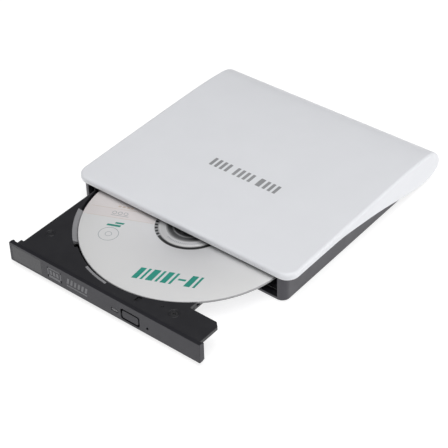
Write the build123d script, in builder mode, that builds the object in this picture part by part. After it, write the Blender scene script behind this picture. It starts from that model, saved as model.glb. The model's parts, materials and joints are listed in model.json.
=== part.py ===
from build123d import *
import os
from math import cos, sin, radians

# Slim external disc drive: a case of two shells, a drive chassis inside it and a tray that stands
# part-way out. X runs to the right, Y to the back, Z up. The origin is on the surface that the
# feet stand on, below the middle of the whole length. All sizes are in millimetres.

# Case
cover_width = 146.0       # across the white top cover
cover_overhang = 4.05     # cover side outside the base side
case_depth = 141.4        # front plane of the base to the back of the spine
cover_lead = 0.8          # lip of the cover ahead of the base front
cover_wall = 1.8
cover_corner = 7.5        # plan radius of the cover's front corners
cover_edge = 1.5          # rounding of the cover's outer edges
post_depth = 0.8          # the mouth's posts stop this far ahead of the drive
cover_gap = 0.4           # between the base floor and the cover that wraps behind it
base_wall = 1.8
base_floor = 1.4
base_corner = 4.5
base_rear_corner = 6.0
spine_cover = 8.1         # spine that overhangs the base floor's back edge
foot_gap = 1.0            # base underside above the surface
foot_radius = 4.5
foot_seat = 0.6
foot_inset = 11.0
front_foot_back = 9.0
rear_foot_back = 120.0

# Heights of the cover above the base underside
skirt_gap = 0.46          # bezel top to the lower edge of the lip
lip_height = 4.45
crest_rise = 5.74         # highest line of the spine above the lip's lower edge
nose_drop = 11.3          # rearmost line of the spine below its highest
belly_height = 1.0        # lowest line of the spine

# Tray, bezel and disc
tray_reach = 60.6         # how far the tray stands out of its shut place
bezel_proud = 0.5         # shut bezel ahead of the base front
post_width = 4.55         # base beside the mouth
mouth_gap = 0.4           # bezel end to that post
bezel_height = 12.0
bezel_plate = 2.4
bezel_return = 3.4        # depth of the returns at the bezel's ends
return_width = 1.2
bezel_lift = 1.8          # bezel's lower edge above the base underside
tray_step = 20.5          # open strip right of the tray, with the electronics below it
flap_inset = 1.7          # bezel end to the flap's side
flap_depth = 18.4
flap_chamfer = 2.5
tray_slab = 2.0
tray_top_drop = 0.5       # tray top below the bezel's top edge
tray_wall = 2.0
tray_ear = 1.8
tray_ear_depth = 5.6
disc_radius = 60.0
disc_hole = 7.5
disc_thickness = 1.2
disc_offset = 2.26        # disc centre to the right of the middle
disc_margin = 9.12        # disc edge behind the bezel's front face
disc_sink = 1.0           # disc top below the tray top
recess_gap = 1.2          # disc edge to the recess wall
recess_rim = 1.2
recess_floor = 1.2
recess_clear = 0.8        # disc underside above the recess floor

# Drive chassis
chassis_front_gap = 3.4   # base front to the front of the pan
steel = 0.6
lid_steel = 0.5
pan_inset = 0.4           # bezel end to the pan's side
pan_lift = 1.0            # pan above the base floor
pan_corner = 5.0          # chamfer of the pan's rear corners
pan_rear_clear = 1.2      # shut disc to the pan's back wall
lid_clear = 0.3           # tray top to the lid
tray_lift = 1.0           # tray underside above the pan floor
under_plate = 0.4

# Slides
slide_thickness = 1.4
slide_rib_height = 2.0
slide_rib_depth = 1.9
slide_play = 0.3
slide_length = 113.0
slide_lift = 1.1          # slide bar above the pan floor
slide_drop = 3.9          # and its top below the tray top
slide_gap = 1.3           # side of the tray to the slide bar
guide_web = 1.2
guide_flange = 0.8
guide_clear = 0.2         # guide to the pan wall
slide_front_back = 42.5   # slide's front end behind the bezel face, tray standing out

# Traverse: everything on the line from the spindle to the front left
traverse_angle = 225.0
frame_inner = 17.0
frame_outer = 66.0
frame_half = 21.0
frame_cut = 10.0
frame_plate = 1.2
frame_gap = 0.8           # frame to the aperture in the tray
rod_radius = 1.0
rod_side = 12.0
sled_fit = 0.05
lens_inner = 24.0         # lens to spindle axis, innermost
lens_travel = 33.0
lens_rest = 38.0
screw_side = 17.4
lead_radius = 1.1
rotor_radius = 13.5
rotor_play = 0.6

# Fastenings
screw_shaft = 1.0
screw_head = 1.9
screw_head_height = 0.8

# Places worked out from the sizes above
base_width = cover_width - 2 * cover_overhang
bezel_width = base_width - 2 * (post_width + mouth_gap)
pan_width = bezel_width - 2 * pan_inset
skirt_height = bezel_lift + bezel_height + skirt_gap
crest_height = skirt_height + crest_rise
nose_height = crest_height - nose_drop
disc_back = disc_radius + disc_margin
recess_radius = disc_radius + recess_gap
overall_length = case_depth + bezel_proud + tray_reach
rear_y = overall_length / 2
front_y = rear_y - case_depth
bezel_y = -overall_length / 2
shut_y = bezel_y + tray_reach
lip_y = front_y - cover_lead
base_rear_y = rear_y - spine_cover
under_z = foot_gap
floor_z = under_z + base_floor
skirt_z = under_z + skirt_height
bezel_z = under_z + bezel_lift
tray_top = bezel_z + bezel_height - tray_top_drop
slab_z = tray_top - tray_slab
disc_z = tray_top - disc_sink - disc_thickness
recess_z = disc_z - recess_clear
pan_z = floor_z + pan_lift
pan_floor = pan_z + steel
lid_z = tray_top + lid_clear
lid_top = lid_z + lid_steel
tray_z = pan_floor + tray_lift
wall_z = tray_z + under_plate
pan_front = front_y + chassis_front_gap
disc_x = disc_offset
disc_y = bezel_y + disc_back
pan_rear = disc_y + tray_reach + disc_radius + pan_rear_clear + steel
pan_depth = pan_rear - pan_front
tray_rear = pan_rear - steel - pan_rear_clear - tray_reach + slide_play
half_cover = cover_width / 2
half_base = base_width / 2
half_pan = pan_width / 2
half_bezel = bezel_width / 2
slide_bottom = pan_floor + slide_lift
slide_top = tray_top - slide_drop
slide_room = slide_gap + slide_thickness + slide_play + guide_web + guide_clear
tray_left = half_pan - steel - slide_room
tray_right = half_pan - tray_step
flap_right = half_bezel - flap_inset
inner_half = half_cover - cover_wall
traverse = Plane(
    origin=(disc_x, disc_y, 0),
    x_dir=(cos(radians(traverse_angle)), sin(radians(traverse_angle)), 0),
    z_dir=(0, 0, 1),
)
os.makedirs("parts", exist_ok=True)


def spine_line(inset=0.0):
    # Outer line of the cover in the YZ plane, moved in by inset where it turns round the spine.
    top_front = skirt_z + lip_height - inset
    crest = (rear_y - 40.0, under_z + crest_height - inset)
    nose = (rear_y - inset, under_z + nose_height)
    belly = (rear_y - 14.7, under_z + belly_height + inset)
    lip = (lip_y + inset, skirt_z + inset)
    skirt_end = (rear_y - 107.5, skirt_z - 0.08 + inset)
    rise = skirt_end[1] - belly[1]
    # The underside climbs from the belly to the skirt: way in from the back, share of the climb.
    belly_shares = [(25.3, 0.076), (40.9, 0.311), (63.0, 0.649), (85.9, 0.895)]
    with BuildLine() as line:
        Line(lip, (lip[0], top_front))
        Spline((lip[0], top_front), crest, tangents=((1, 0.017), (1, 0)))
        Spline(
            crest,
            (rear_y - 17.5, crest[1] - 0.8),
            (rear_y - 6.6 - 0.6 * inset, crest[1] - 2.9 + 0.2 * inset),
            (rear_y - 2.3 - 0.9 * inset, crest[1] - 6.1 + 0.6 * inset),
            nose,
            (rear_y - 1.5 - 0.9 * inset, belly[1] + 3.6 - 0.5 * inset),
            (rear_y - 5.6 - 0.5 * inset, belly[1] + 1.3 - 0.1 * inset),
            belly,
            tangents=((1, 0), (-1, 0)),
        )
        Spline(
            belly,
            *[(rear_y - back, belly[1] + share * rise) for back, share in belly_shares],
            skirt_end,
            tangents=((-1, 0), (-1, 0.004)),
        )
        Line(skirt_end, lip)
    return line


# ---------------------------------------------------------------- case shells
left_face = -tray_left
right_face = tray_right
left_bar = left_face - slide_gap - slide_thickness / 2
right_bar = right_face + slide_gap + slide_thickness / 2
drive_board_left = right_bar + slide_thickness / 2 + slide_play + guide_web + 1.6
plug_width = 9.0
plug_x = drive_board_left + 4.1
window_x = 30.0
window_width = 9.6
window_height = 5.4
board_gap = 0.9           # lid to the bridge board
board_z = lid_top + board_gap
socket_width = 7.8
socket_height = 3.9
socket_wall = 0.3
window_z = board_z - socket_height / 2
board_thickness = 1.0
board_front = pan_rear - 13.62
board_rear = base_rear_y - 1.4
board_left = window_x - 8.0
boss_x = half_pan - 1.0
boss_clear = 0.2
boss_y = base_rear_y - 2.8
boss_radius = 2.4
board_right = boss_x - boss_radius - boss_clear
boss_split = floor_z + 5.0
spine_step = 3.06         # cover's opening round the base's rear, below the lip
spine_start = 80.0        # and where it begins, ahead of the back
lip_end = 60.0            # back end of the opening in front of it
inner_step = 0.2
cut_depth = 30.0          # deeper than anything it cuts through
boss_pilot = 4.0
board_pilot = 1.4
window_corner = 1.0
window_depth = 8.5
pad_backs = (30.0, 95.0)  # pads of the cover, behind the base front
press_x = 42.0
press_radius = 3.0
board_boss = 1.9
board_screw_places = [(x, board_front + 4) for x in (board_left + 4, board_right - 4)]
pad_places = [front_y + back for back in pad_backs]
outer_line = spine_line()
inner_line = spine_line(cover_wall)

with BuildPart() as cavity:
    # Room inside the cover, open below in front of the spine and round the base's rear.
    with BuildSketch(Plane.YZ):
        with BuildLine():
            add(inner_line.line)
        make_face()
    extrude(amount=inner_half, both=True)
    fillet(cavity.edges().filter_by(Axis.Z).group_by(Axis.Y)[0], radius=cover_corner - cover_wall)
    with BuildSketch(Plane.XY.offset(skirt_z + cover_wall + inner_step)):
        with Locations((0, (lip_y + cover_wall + rear_y - lip_end) / 2)):
            mouth = Rectangle(2 * inner_half, rear_y - lip_end - lip_y - cover_wall)
        fillet(mouth.vertices().group_by(Axis.Y)[0], radius=cover_corner - cover_wall)
    extrude(amount=-cut_depth)
    with BuildSketch(Plane.XY.offset(skirt_z - spine_step)):
        with Locations((0, (rear_y - spine_start + base_rear_y + cover_gap) / 2)):
            Rectangle(2 * inner_half, base_rear_y + cover_gap - rear_y + spine_start)
    extrude(amount=-cut_depth)

with BuildPart() as top_cover:
    with BuildSketch(Plane.YZ):
        with BuildLine():
            add(outer_line.line)
        make_face()
    extrude(amount=half_cover, both=True)
    front_corners = top_cover.edges().filter_by(Axis.Z).group_by(Axis.Y)[0]
    fillet(front_corners, radius=cover_corner)
    rim = top_cover.faces().sort_by(Axis.Z)[-1].edges()
    fillet(rim, radius=cover_edge)
    add(cavity.part, mode=Mode.SUBTRACT)
    # Window for the socket in the back of the spine.
    with BuildSketch(Plane.XZ.offset(-rear_y - 1)):
        with Locations((window_x, window_z)):
            RectangleRounded(window_width, window_height, window_corner)
    extrude(amount=window_depth, mode=Mode.SUBTRACT)
    # Pads that hold the drive down, bosses for the case screws and for the board.
    with BuildSketch(Plane.XY.offset(lid_top)):
        with Locations(*[(x, y) for x in (-press_x, press_x) for y in pad_places]):
            Circle(press_radius)
    extrude(until=Until.NEXT)
    with BuildSketch(Plane.XY.offset(boss_split)):
        with Locations((-boss_x, boss_y), (boss_x, boss_y)):
            Circle(boss_radius)
    extrude(until=Until.NEXT)
    with BuildSketch(Plane.XY.offset(board_z + board_thickness)):
        with Locations(*board_screw_places):
            Circle(board_boss)
    extrude(until=Until.NEXT)
    # Pilot holes for the screws.
    with BuildSketch(Plane.XY.offset(boss_split)):
        with Locations((-boss_x, boss_y), (boss_x, boss_y)):
            Circle(screw_shaft)
    extrude(amount=boss_pilot, mode=Mode.SUBTRACT)
    with BuildSketch(Plane.XY.offset(board_z + board_thickness)):
        with Locations(*board_screw_places):
            Circle(screw_shaft)
    extrude(amount=board_pilot, mode=Mode.SUBTRACT)
top_cover.part.label = "top_cover"

foot_places = [
    (side * (half_base - foot_inset), front_y + back)
    for side in (-1, 1)
    for back in (front_foot_back, rear_foot_back)
]
base_depth = base_rear_y - front_y
base_mid = (front_y + base_rear_y) / 2
base_top = skirt_z + 1.3  # walls step up inside the cover
wall_gap = 0.06           # side wall to the skirt's lower edge
step_middle = 42.0
step_length = 70.0
tab_backs = (20.0, 44.0, 68.0)
tab_length = 6.0
tab_height = 1.2
rib_thickness = 1.6
rib_height = 6.0
seat_places = (-50.0, 0.0, 50.0)
opening_half = half_bezel + mouth_gap
pivot_x = right_bar + 6.9         # latch lever's post, right of the slides
pivot_back = 7.4
latch_pin_x = pivot_x + 4.1
latch_pin_y = shut_y + pivot_back + 5.8
latch_pin_radius = 1.2
rib_places = [front_y + back for back in (16, 60, 104)]

with BuildPart() as base_shell:
    with BuildSketch(Plane.XY.offset(under_z)):
        with Locations((0, base_mid)):
            outline = Rectangle(base_width, base_depth)
        fillet(outline.vertices().group_by(Axis.Y)[0], radius=base_corner)
        fillet(outline.vertices().group_by(Axis.Y)[-1], radius=base_rear_corner)
    extrude(amount=base_floor)
    # Side walls with the returns that frame the mouth.
    with BuildSketch(Plane.XY.offset(floor_z)):
        with Locations((0, base_mid)):
            outline = Rectangle(base_width, base_depth)
        fillet(outline.vertices().group_by(Axis.Y)[0], radius=base_corner)
        fillet(outline.vertices().group_by(Axis.Y)[-1], radius=base_rear_corner)
        with Locations((0, base_mid + chassis_front_gap / 2)):
            Rectangle(
                base_width - 2 * base_wall,
                base_depth - chassis_front_gap + post_depth,
                mode=Mode.SUBTRACT,
            )
        with Locations((0, base_mid)):
            Rectangle(2 * opening_half, 2 * base_depth, mode=Mode.SUBTRACT)
    extrude(amount=skirt_z - wall_gap - floor_z)
    # The walls step up inside the cover, clear of its spine.
    with BuildSketch(Plane.XY.offset(skirt_z - wall_gap)):
        for side in (-1, 1):
            with Locations((side * (half_base - base_wall / 2), front_y + step_middle)):
                Rectangle(base_wall, step_length)
    extrude(amount=base_top - skirt_z + wall_gap)
    # Snap tabs reach out to the inside of the cover.
    with BuildSketch(Plane.XY.offset(skirt_z + 0.1)):
        for side in (-1, 1):
            for back in tab_backs:
                with Locations((side * (half_base + inner_half) / 2, front_y + back)):
                    Rectangle(inner_half - half_base, tab_length)
    extrude(amount=tab_height)
    # Ribs and pads that seat the drive.
    with BuildSketch(Plane.XY.offset(floor_z)):
        for side in (-1, 1):
            for y in rib_places:
                with Locations((side * (half_pan + half_base - base_wall) / 2, y)):
                    Rectangle(half_base - base_wall - half_pan, rib_thickness)
    extrude(amount=rib_height)
    with BuildSketch(Plane.XY.offset(floor_z)):
        with Locations(*[(x, y) for x in seat_places for y in rib_places]):
            Circle(press_radius)
    extrude(amount=pan_lift)
    with BuildSketch(Plane.XY.offset(floor_z)):
        with Locations((-boss_x, boss_y), (boss_x, boss_y)):
            Circle(boss_radius)
    extrude(amount=boss_split - floor_z)
    with Locations(*[Location((x, boss_y, under_z), (180, 0, 0)) for x in (-boss_x, boss_x)]):
        CounterBoreHole(screw_shaft + 0.1, screw_head + 0.1, screw_head_height + 0.2)
    with BuildSketch(Plane.XY.offset(under_z)):
        with Locations(*foot_places):
            Circle(foot_radius)
    extrude(amount=foot_seat, mode=Mode.SUBTRACT)
base_shell.part.label = "base_shell"

with BuildPart() as rubber_feet:
    with BuildSketch(Plane.XY):
        with Locations(*foot_places):
            Circle(foot_radius)
    extrude(amount=foot_gap + foot_seat)
    chamfer(rubber_feet.edges().group_by(Axis.Z)[0], length=0.3)
rubber_feet.part.label = "rubber_feet"


def screws(places, head_z, length, up=True):
    # Pan-head screws with a cross recess; the head starts at head_z and the shaft points up or down.
    way = 1 if up else -1
    with BuildPart() as group:
        with BuildSketch(Plane.XY.offset(head_z)):
            with Locations(*places):
                Circle(screw_head)
        extrude(amount=way * screw_head_height)
        with BuildSketch(Plane.XY.offset(head_z)):
            with Locations(*places):
                Circle(screw_shaft)
        extrude(amount=way * (screw_head_height + length))
        with BuildSketch(Plane.XY.offset(head_z)):
            for turn in (0, 90):
                with Locations(*[Location((x, y, 0), (0, 0, turn)) for x, y in places]):
                    Rectangle(2.2, 0.5)
        extrude(amount=way * 0.4, mode=Mode.SUBTRACT)
    return group


case_screws = screws([(-boss_x, boss_y), (boss_x, boss_y)], under_z + 0.2, 7.5)
case_screws.part.label = "case_screws"

# ---------------------------------------------------------------- bridge board and sockets
plug_lift = 2.0
plug_depth = 1.48
socket_front = base_rear_y - 1.6
socket_rear = rear_y - 3.6
socket_corner = 0.8
tongue_width = 5.0
tongue_height = 1.0
chip_height = 0.9

with BuildPart() as bridge_board:
    with BuildSketch(Plane.XY.offset(board_z)):
        with Locations(((board_left + board_right) / 2, (board_front + board_rear) / 2)):
            Rectangle(board_right - board_left, board_rear - board_front)
        with Locations(*board_screw_places):
            Circle(screw_shaft, mode=Mode.SUBTRACT)
    extrude(amount=board_thickness)
bridge_board.part.label = "bridge_board"

chip_places = [(33, 5, 5), (42, 4.5, 7), (50, 3, 3)]
with BuildPart() as bridge_chips:
    with BuildSketch(Plane.XY.offset(board_z + board_thickness)):
        for x, width, length in chip_places:
            with Locations((x, board_front + 7)):
                Rectangle(width, length)
    extrude(amount=chip_height)
bridge_chips.part.label = "bridge_chips"

board_screws = screws(board_screw_places, board_z - screw_head_height, 2.2)
board_screws.part.label = "board_screws"

with BuildPart() as usb_socket:
    with BuildSketch(Plane.XZ.offset(-socket_front)):
        with Locations((window_x, board_z - socket_height / 2)):
            RectangleRounded(socket_width, socket_height, socket_corner)
    extrude(amount=socket_front - socket_rear)
    with BuildSketch(Plane.XZ.offset(-socket_rear)):
        with Locations((window_x, board_z - socket_height / 2)):
            RectangleRounded(
                socket_width - 2 * socket_wall, socket_height - 2 * socket_wall, socket_corner - 0.2
            )
    extrude(amount=socket_rear - socket_front - socket_wall, mode=Mode.SUBTRACT)
usb_socket.part.label = "usb_socket"

with BuildPart() as usb_tongue:
    with BuildSketch(Plane.XZ.offset(-socket_front - socket_wall)):
        with Locations((window_x, board_z - socket_height / 2)):
            Rectangle(tongue_width, tongue_height)
    extrude(amount=socket_front + socket_wall - socket_rear + 0.8)
usb_tongue.part.label = "usb_tongue"

with BuildPart() as sata_plug:
    with BuildSketch(Plane.XY.offset(pan_floor + plug_lift)):
        with Locations((plug_x, pan_rear + plug_depth / 2)):
            Rectangle(plug_width, plug_depth)
    extrude(amount=board_z - pan_floor - plug_lift)
sata_plug.part.label = "sata_plug"

# ---------------------------------------------------------------- drive chassis
board_lift = 0.8
sata_height = 4.0
sata_overlap = 5.0        # socket over the board
drive_board_thickness = 0.8
drive_chip_height = 1.1
port_height = 5.2
port_play = 0.6
bead_width = 5.0
bead_length = 70.0
bead_height = 0.3
bead_places = (-34.0, -8.0, 18.0)
pin_height = 5.6
pin_stem = 0.7
drive_board_right = half_pan - steel - 0.4
drive_board_front = pan_front + 14
drive_board_rear = pan_rear - 6.0
pan_mid = (pan_front + pan_rear) / 2


def pan_outline(inset=0.0):
    # Plan of the drive with its two cut rear corners.
    width = half_pan - inset
    back = pan_rear - inset
    cut = pan_corner - 0.4 * inset
    with BuildLine() as line:
        Polyline(
            (-width, pan_front),
            (width, pan_front),
            (width, back - cut),
            (width - cut, back),
            (-width + cut, back),
            (-width, back - cut),
            close=True,
        )
    return line.line


with BuildPart() as chassis_pan:
    with BuildSketch(Plane.XY.offset(pan_z)):
        with BuildLine():
            add(pan_outline())
        make_face()
    extrude(amount=lid_z - pan_z)
    with BuildSketch(Plane.XY.offset(pan_floor)):
        with BuildLine():
            add(pan_outline(steel))
        make_face()
        with Locations((0, pan_front)):
            Rectangle(2 * (half_pan - steel), 10)
    extrude(amount=lid_z - pan_floor, mode=Mode.SUBTRACT)
    # Hole for the connector in the back wall and for the latch pin in the floor.
    with BuildSketch(Plane.XZ.offset(-pan_rear - 1)):
        with Locations((plug_x, pan_floor + board_lift + drive_board_thickness + sata_height / 2)):
            Rectangle(plug_width + port_play, port_height)
    extrude(amount=3, mode=Mode.SUBTRACT)
    with Locations((latch_pin_x, latch_pin_y, pan_floor)):
        Hole(pin_stem)
    # Stiffening beads pressed into the floor.
    with BuildSketch(Plane.XY.offset(pan_floor)):
        for x in bead_places:
            with Locations((x, pan_mid)):
                SlotOverall(bead_length, bead_width, rotation=90)
    extrude(amount=bead_height)
chassis_pan.part.label = "chassis_pan"

lid_flange = 0.4
flange_depth = 4.0
flange_setback = 12.0     # flanges are this much shorter than the pan
with BuildPart() as chassis_lid:
    with BuildSketch(Plane.XY.offset(lid_z)):
        with BuildLine():
            add(pan_outline())
        make_face()
    extrude(amount=lid_steel)
    with BuildSketch(Plane.XY.offset(lid_top - flange_depth)):
        for side in (-1, 1):
            with Locations((side * (half_pan + lid_flange / 2), pan_mid - flange_setback / 3)):
                Rectangle(lid_flange, pan_depth - flange_setback)
    extrude(amount=flange_depth)
chassis_lid.part.label = "chassis_lid"

with BuildPart() as latch_pin:
    with BuildSketch(Plane.XY.offset(pan_z)):
        with Locations((latch_pin_x, latch_pin_y)):
            Circle(pin_stem)
    extrude(amount=steel)
    with BuildSketch(Plane.XY.offset(pan_floor)):
        with Locations((latch_pin_x, latch_pin_y)):
            Circle(latch_pin_radius)
    extrude(amount=pin_height)
latch_pin.part.label = "latch_pin"

with BuildPart() as drive_board:
    with BuildSketch(Plane.XY.offset(pan_floor + board_lift)):
        with Locations((
            (drive_board_left + drive_board_right) / 2,
            (drive_board_front + drive_board_rear) / 2,
        )):
            Rectangle(drive_board_right - drive_board_left, drive_board_rear - drive_board_front)
    extrude(amount=drive_board_thickness)
    # Feet below the board.
    with BuildSketch(Plane.XY.offset(pan_floor)):
        with Locations(*[
            (drive_board_left + 3, drive_board_front + 4),
            (drive_board_right - 3, drive_board_rear - 4),
        ]):
            Circle(1.4)
    extrude(amount=board_lift)
drive_board.part.label = "drive_board"

with BuildPart() as drive_chips:
    with BuildSketch(Plane.XY.offset(pan_floor + board_lift + drive_board_thickness)):
        for back, width, length in ((16, 9, 9), (34, 8, 12), (54, 9, 9), (72, 6, 4)):
            with Locations(((drive_board_left + drive_board_right) / 2, drive_board_front + back)):
                Rectangle(width, length)
    extrude(amount=drive_chip_height)
drive_chips.part.label = "drive_chips"

with BuildPart() as sata_socket:
    with BuildSketch(Plane.XY.offset(pan_floor + board_lift + drive_board_thickness)):
        with Locations((plug_x, (drive_board_rear - sata_overlap + pan_rear) / 2)):
            Rectangle(plug_width - port_play, pan_rear - drive_board_rear + sata_overlap)
    extrude(amount=sata_height)
sata_socket.part.label = "sata_socket"

flex_x = 5.0
flex_width = 12.0
flex_length = 70.0
flex_leg = 4.4
flex_gap = 0.4
flex_thickness = 0.2
flex_rear = pan_rear - steel - flex_gap
with BuildPart() as flex_cable:
    with BuildSketch(Plane.XY.offset(pan_floor)):
        with Locations((flex_x, flex_rear - flex_length / 2)):
            Rectangle(flex_width, flex_length)
        with Locations(((flex_x + plug_x) / 2, flex_rear - flex_leg / 2)):
            Rectangle(plug_x - flex_x, flex_leg)
    extrude(amount=flex_thickness)
flex_cable.part.label = "flex_cable"

# ---------------------------------------------------------------- guides and slides
guide_front = shut_y + 10.5
guide_rear = pan_rear - 6.0
guide_base = tray_z - tray_lift


def guide(bar_x, side):
    # Plastic channel that holds a slide bar; side points away from the tray.
    inner = bar_x - side * (slide_thickness / 2 - 0.1)
    web_face = bar_x + side * (slide_thickness / 2 + slide_play)
    outer = web_face + side * guide_web
    top = slide_top + slide_play + guide_flange
    with BuildPart() as channel:
        with BuildSketch(Plane.XZ.offset(-guide_front)):
            with Locations(((inner + outer) / 2, (guide_base + top) / 2)):
                Rectangle(abs(outer - inner), top - guide_base)
            with Locations(((inner + web_face) / 2, (slide_bottom + slide_top) / 2)):
                Rectangle(
                    abs(web_face - inner), slide_top - slide_bottom + 2 * slide_play, mode=Mode.SUBTRACT
                )
        extrude(amount=guide_front - guide_rear)
    return channel


def slide(bar_x, side):
    # Steel bar with a rib that runs in the groove of the tray.
    rib_x = bar_x - side * (slide_thickness / 2 + slide_rib_depth / 2)
    middle = (slide_bottom + slide_top) / 2
    front = bezel_y + slide_front_back
    with BuildPart() as bar:
        with BuildSketch(Plane.XZ.offset(-front)):
            with Locations((bar_x, middle)):
                Rectangle(slide_thickness, slide_top - slide_bottom)
            with Locations((rib_x, middle)):
                Rectangle(slide_rib_depth, slide_rib_height)
        extrude(amount=-slide_length)
    return bar


left_guide = guide(left_bar, -1)
left_guide.part.label = "left_guide"
right_guide = guide(right_bar, 1)
right_guide.part.label = "right_guide"
left_slide = slide(left_bar, -1)
left_slide.part.label = "left_slide"
right_slide = slide(right_bar, 1)
right_slide.part.label = "right_slide"

# ---------------------------------------------------------------- tray and bezel
button_x = 19.5
button_z = bezel_z + 4.85
button_width = 10.6
button_height = 4.9
button_gap = 0.45
button_travel = 0.8
stem_radius = 1.0
window_led_x = 9.3
led_z = bezel_z + 4.6
led_width = 3.9
led_height = 1.3
pinhole_x = 30.75
pinhole_z = bezel_z + 3.97
pinhole_radius = 0.55
tray_screw_x = tray_right - 3.5
tray_screw_y = bezel_y + 10.4
dimple_x = -51.9
dimple_y = bezel_y + 18.6
trim_front = tray_right - 9.1     # under-plate edge in front of the right side wall
side_wall_back = 46.0     # where the right side wall begins
groove_depth = 1.2
pivot_y = bezel_y + pivot_back
pivot_radius = 1.2
damper_radius = 2.6
damper_top = recess_z - recess_floor
damper_places = [(-8.0, frame_half + 4.0), (-8.0, -frame_half - 4.0), (frame_outer + 2.5, 0.0)]



def frame_outline(grow=0.0):
    # Plan of the traverse along its own line, with cut corners at the outer end.
    side = frame_half + grow
    outer = frame_outer + grow
    inner = -frame_inner - grow
    cut = frame_cut + 0.4 * grow
    with BuildLine() as line:
        Polyline(
            (inner, -side),
            (outer - cut, -side),
            (outer, -side + cut),
            (outer, side - cut),
            (outer - cut, side),
            (inner, side),
            close=True,
        )
    return line.line


with BuildPart() as bezel:
    with BuildSketch(Plane.XZ.offset(-bezel_y)):
        with Locations((0, bezel_z + bezel_height / 2)):
            RectangleRounded(bezel_width, bezel_height, 0.6)
    extrude(amount=-bezel_plate)
    with BuildSketch(Plane.XZ.offset(-bezel_y)):
        for side in (-1, 1):
            with Locations((side * (half_bezel - return_width / 2), bezel_z + bezel_height / 2)):
                Rectangle(return_width, bezel_height - 1.2)
    extrude(amount=-bezel_return)
    with BuildSketch(Plane.XZ.offset(-bezel_y)):
        with Locations((button_x, button_z)):
            RectangleRounded(button_width + 2 * button_gap, button_height + 2 * button_gap, 1.3)
        with Locations((window_led_x, led_z)):
            RectangleRounded(led_width, led_height, 0.4)
        with Locations((pinhole_x, pinhole_z)):
            Circle(pinhole_radius)
    extrude(amount=-bezel_plate, mode=Mode.SUBTRACT)
    front_edges = bezel.edges().filter_by(GeomType.LINE).group_by(Axis.Y)[0]
    fillet(front_edges.filter_by(lambda edge: edge.length > 10), radius=0.35)
bezel.part.label = "bezel"

with BuildPart() as tray:
    # Slab with the flap on the right.
    with BuildSketch(Plane.XY.offset(slab_z)):
        with BuildLine():
            Polyline(
                (-tray_left - tray_ear, bezel_y + bezel_plate),
                (flap_right, bezel_y + bezel_plate),
                (flap_right, bezel_y + flap_depth - flap_chamfer),
                (flap_right - flap_chamfer, bezel_y + flap_depth),
                (tray_right, bezel_y + flap_depth),
                (tray_right, tray_rear),
                (-tray_left, tray_rear),
                (-tray_left, bezel_y + tray_ear_depth),
                (-tray_left - tray_ear, bezel_y + tray_ear_depth),
                close=True,
            )
        make_face()
    extrude(amount=tray_slab)
    # Cup of the recess below the slab.
    with BuildSketch(Plane.XY.offset(recess_z - recess_floor)):
        with Locations((disc_x, disc_y)):
            Circle(recess_radius + recess_rim)
        with Locations(((tray_right - tray_left) / 2, (bezel_y + tray_rear) / 2)):
            Rectangle(tray_left + tray_right, tray_rear - bezel_y, mode=Mode.INTERSECT)
    extrude(amount=slab_z - recess_z + recess_floor)
    # Front and side walls.
    with BuildSketch(Plane.XY.offset(wall_z)):
        with Locations((-tray_left + tray_wall / 2, (bezel_y + bezel_plate + tray_rear) / 2)):
            Rectangle(tray_wall, tray_rear - bezel_y - bezel_plate)
        with Locations((tray_right - tray_wall / 2, (bezel_y + side_wall_back + tray_rear) / 2)):
            Rectangle(tray_wall, tray_rear - bezel_y - side_wall_back)
        with Locations(((tray_right - tray_left) / 2, bezel_y + bezel_plate + tray_wall / 2)):
            Rectangle(tray_left + tray_right, tray_wall)
    extrude(amount=slab_z - wall_z)
    # Recess for the disc.
    with BuildSketch(Plane.XY.offset(recess_z)):
        with Locations((disc_x, disc_y)):
            Circle(recess_radius)
    extrude(amount=10, mode=Mode.SUBTRACT)
    # Aperture for the traverse.
    with BuildSketch(traverse.offset(wall_z)):
        with BuildLine():
            add(frame_outline(frame_gap))
        make_face()
    extrude(amount=slab_z - wall_z, mode=Mode.SUBTRACT)
    # The right side is open below the slab, between the flap and the side wall.
    with BuildSketch(Plane.XY.offset(wall_z)):
        with Locations((tray_right, bezel_y + (flap_depth + side_wall_back) / 2)):
            Rectangle(2 * (tray_right - trim_front - tray_wall), side_wall_back - flap_depth)
    extrude(amount=slab_z - wall_z, mode=Mode.SUBTRACT)
    # Grooves for the ribs of the slides.
    groove_height = slide_rib_height + 2 * slide_play
    with BuildSketch(Plane.XZ.offset(-bezel_y - bezel_plate - tray_wall)):
        with Locations(
            (-tray_left + groove_depth / 2, (slide_bottom + slide_top) / 2),
            (tray_right - groove_depth / 2, (slide_bottom + slide_top) / 2),
        ):
            Rectangle(groove_depth, groove_height)
    extrude(amount=-tray_rear + bezel_y, mode=Mode.SUBTRACT)
    # Openings in the front wall for the button, the light pipe and the pin.
    with BuildSketch(Plane.XZ.offset(-bezel_y)):
        with Locations((button_x, button_z)):
            Rectangle(button_width + 2.4, button_height + 1.4)
        with Locations((window_led_x, led_z)):
            Rectangle(led_width + 0.8, led_height + 0.8)
        with Locations((pinhole_x, pinhole_z)):
            Circle(pinhole_radius + 0.3)
    extrude(amount=-bezel_plate - tray_wall - 1, mode=Mode.SUBTRACT)
    # Post for the latch lever, hole for the screw and a shallow dimple.
    with BuildSketch(Plane.XY.offset(wall_z + 0.6)):
        with Locations((pivot_x, pivot_y)):
            Circle(pivot_radius)
    extrude(amount=slab_z - wall_z - 0.6)
    with Locations((tray_screw_x, tray_screw_y, tray_top)):
        CounterBoreHole(screw_shaft + 0.1, screw_head + 0.15, screw_head_height + 0.15)
    with BuildSketch(Plane.XY.offset(tray_top)):
        with Locations((dimple_x, dimple_y)):
            Circle(1.6)
    extrude(amount=-0.4, mode=Mode.SUBTRACT)
    # Post that the outer damper hangs from.
    with BuildSketch(traverse.offset(damper_top)):
        with Locations(damper_places[-1]):
            Circle(damper_radius)
    extrude(amount=slab_z - damper_top)
tray.part.label = "tray"

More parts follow.
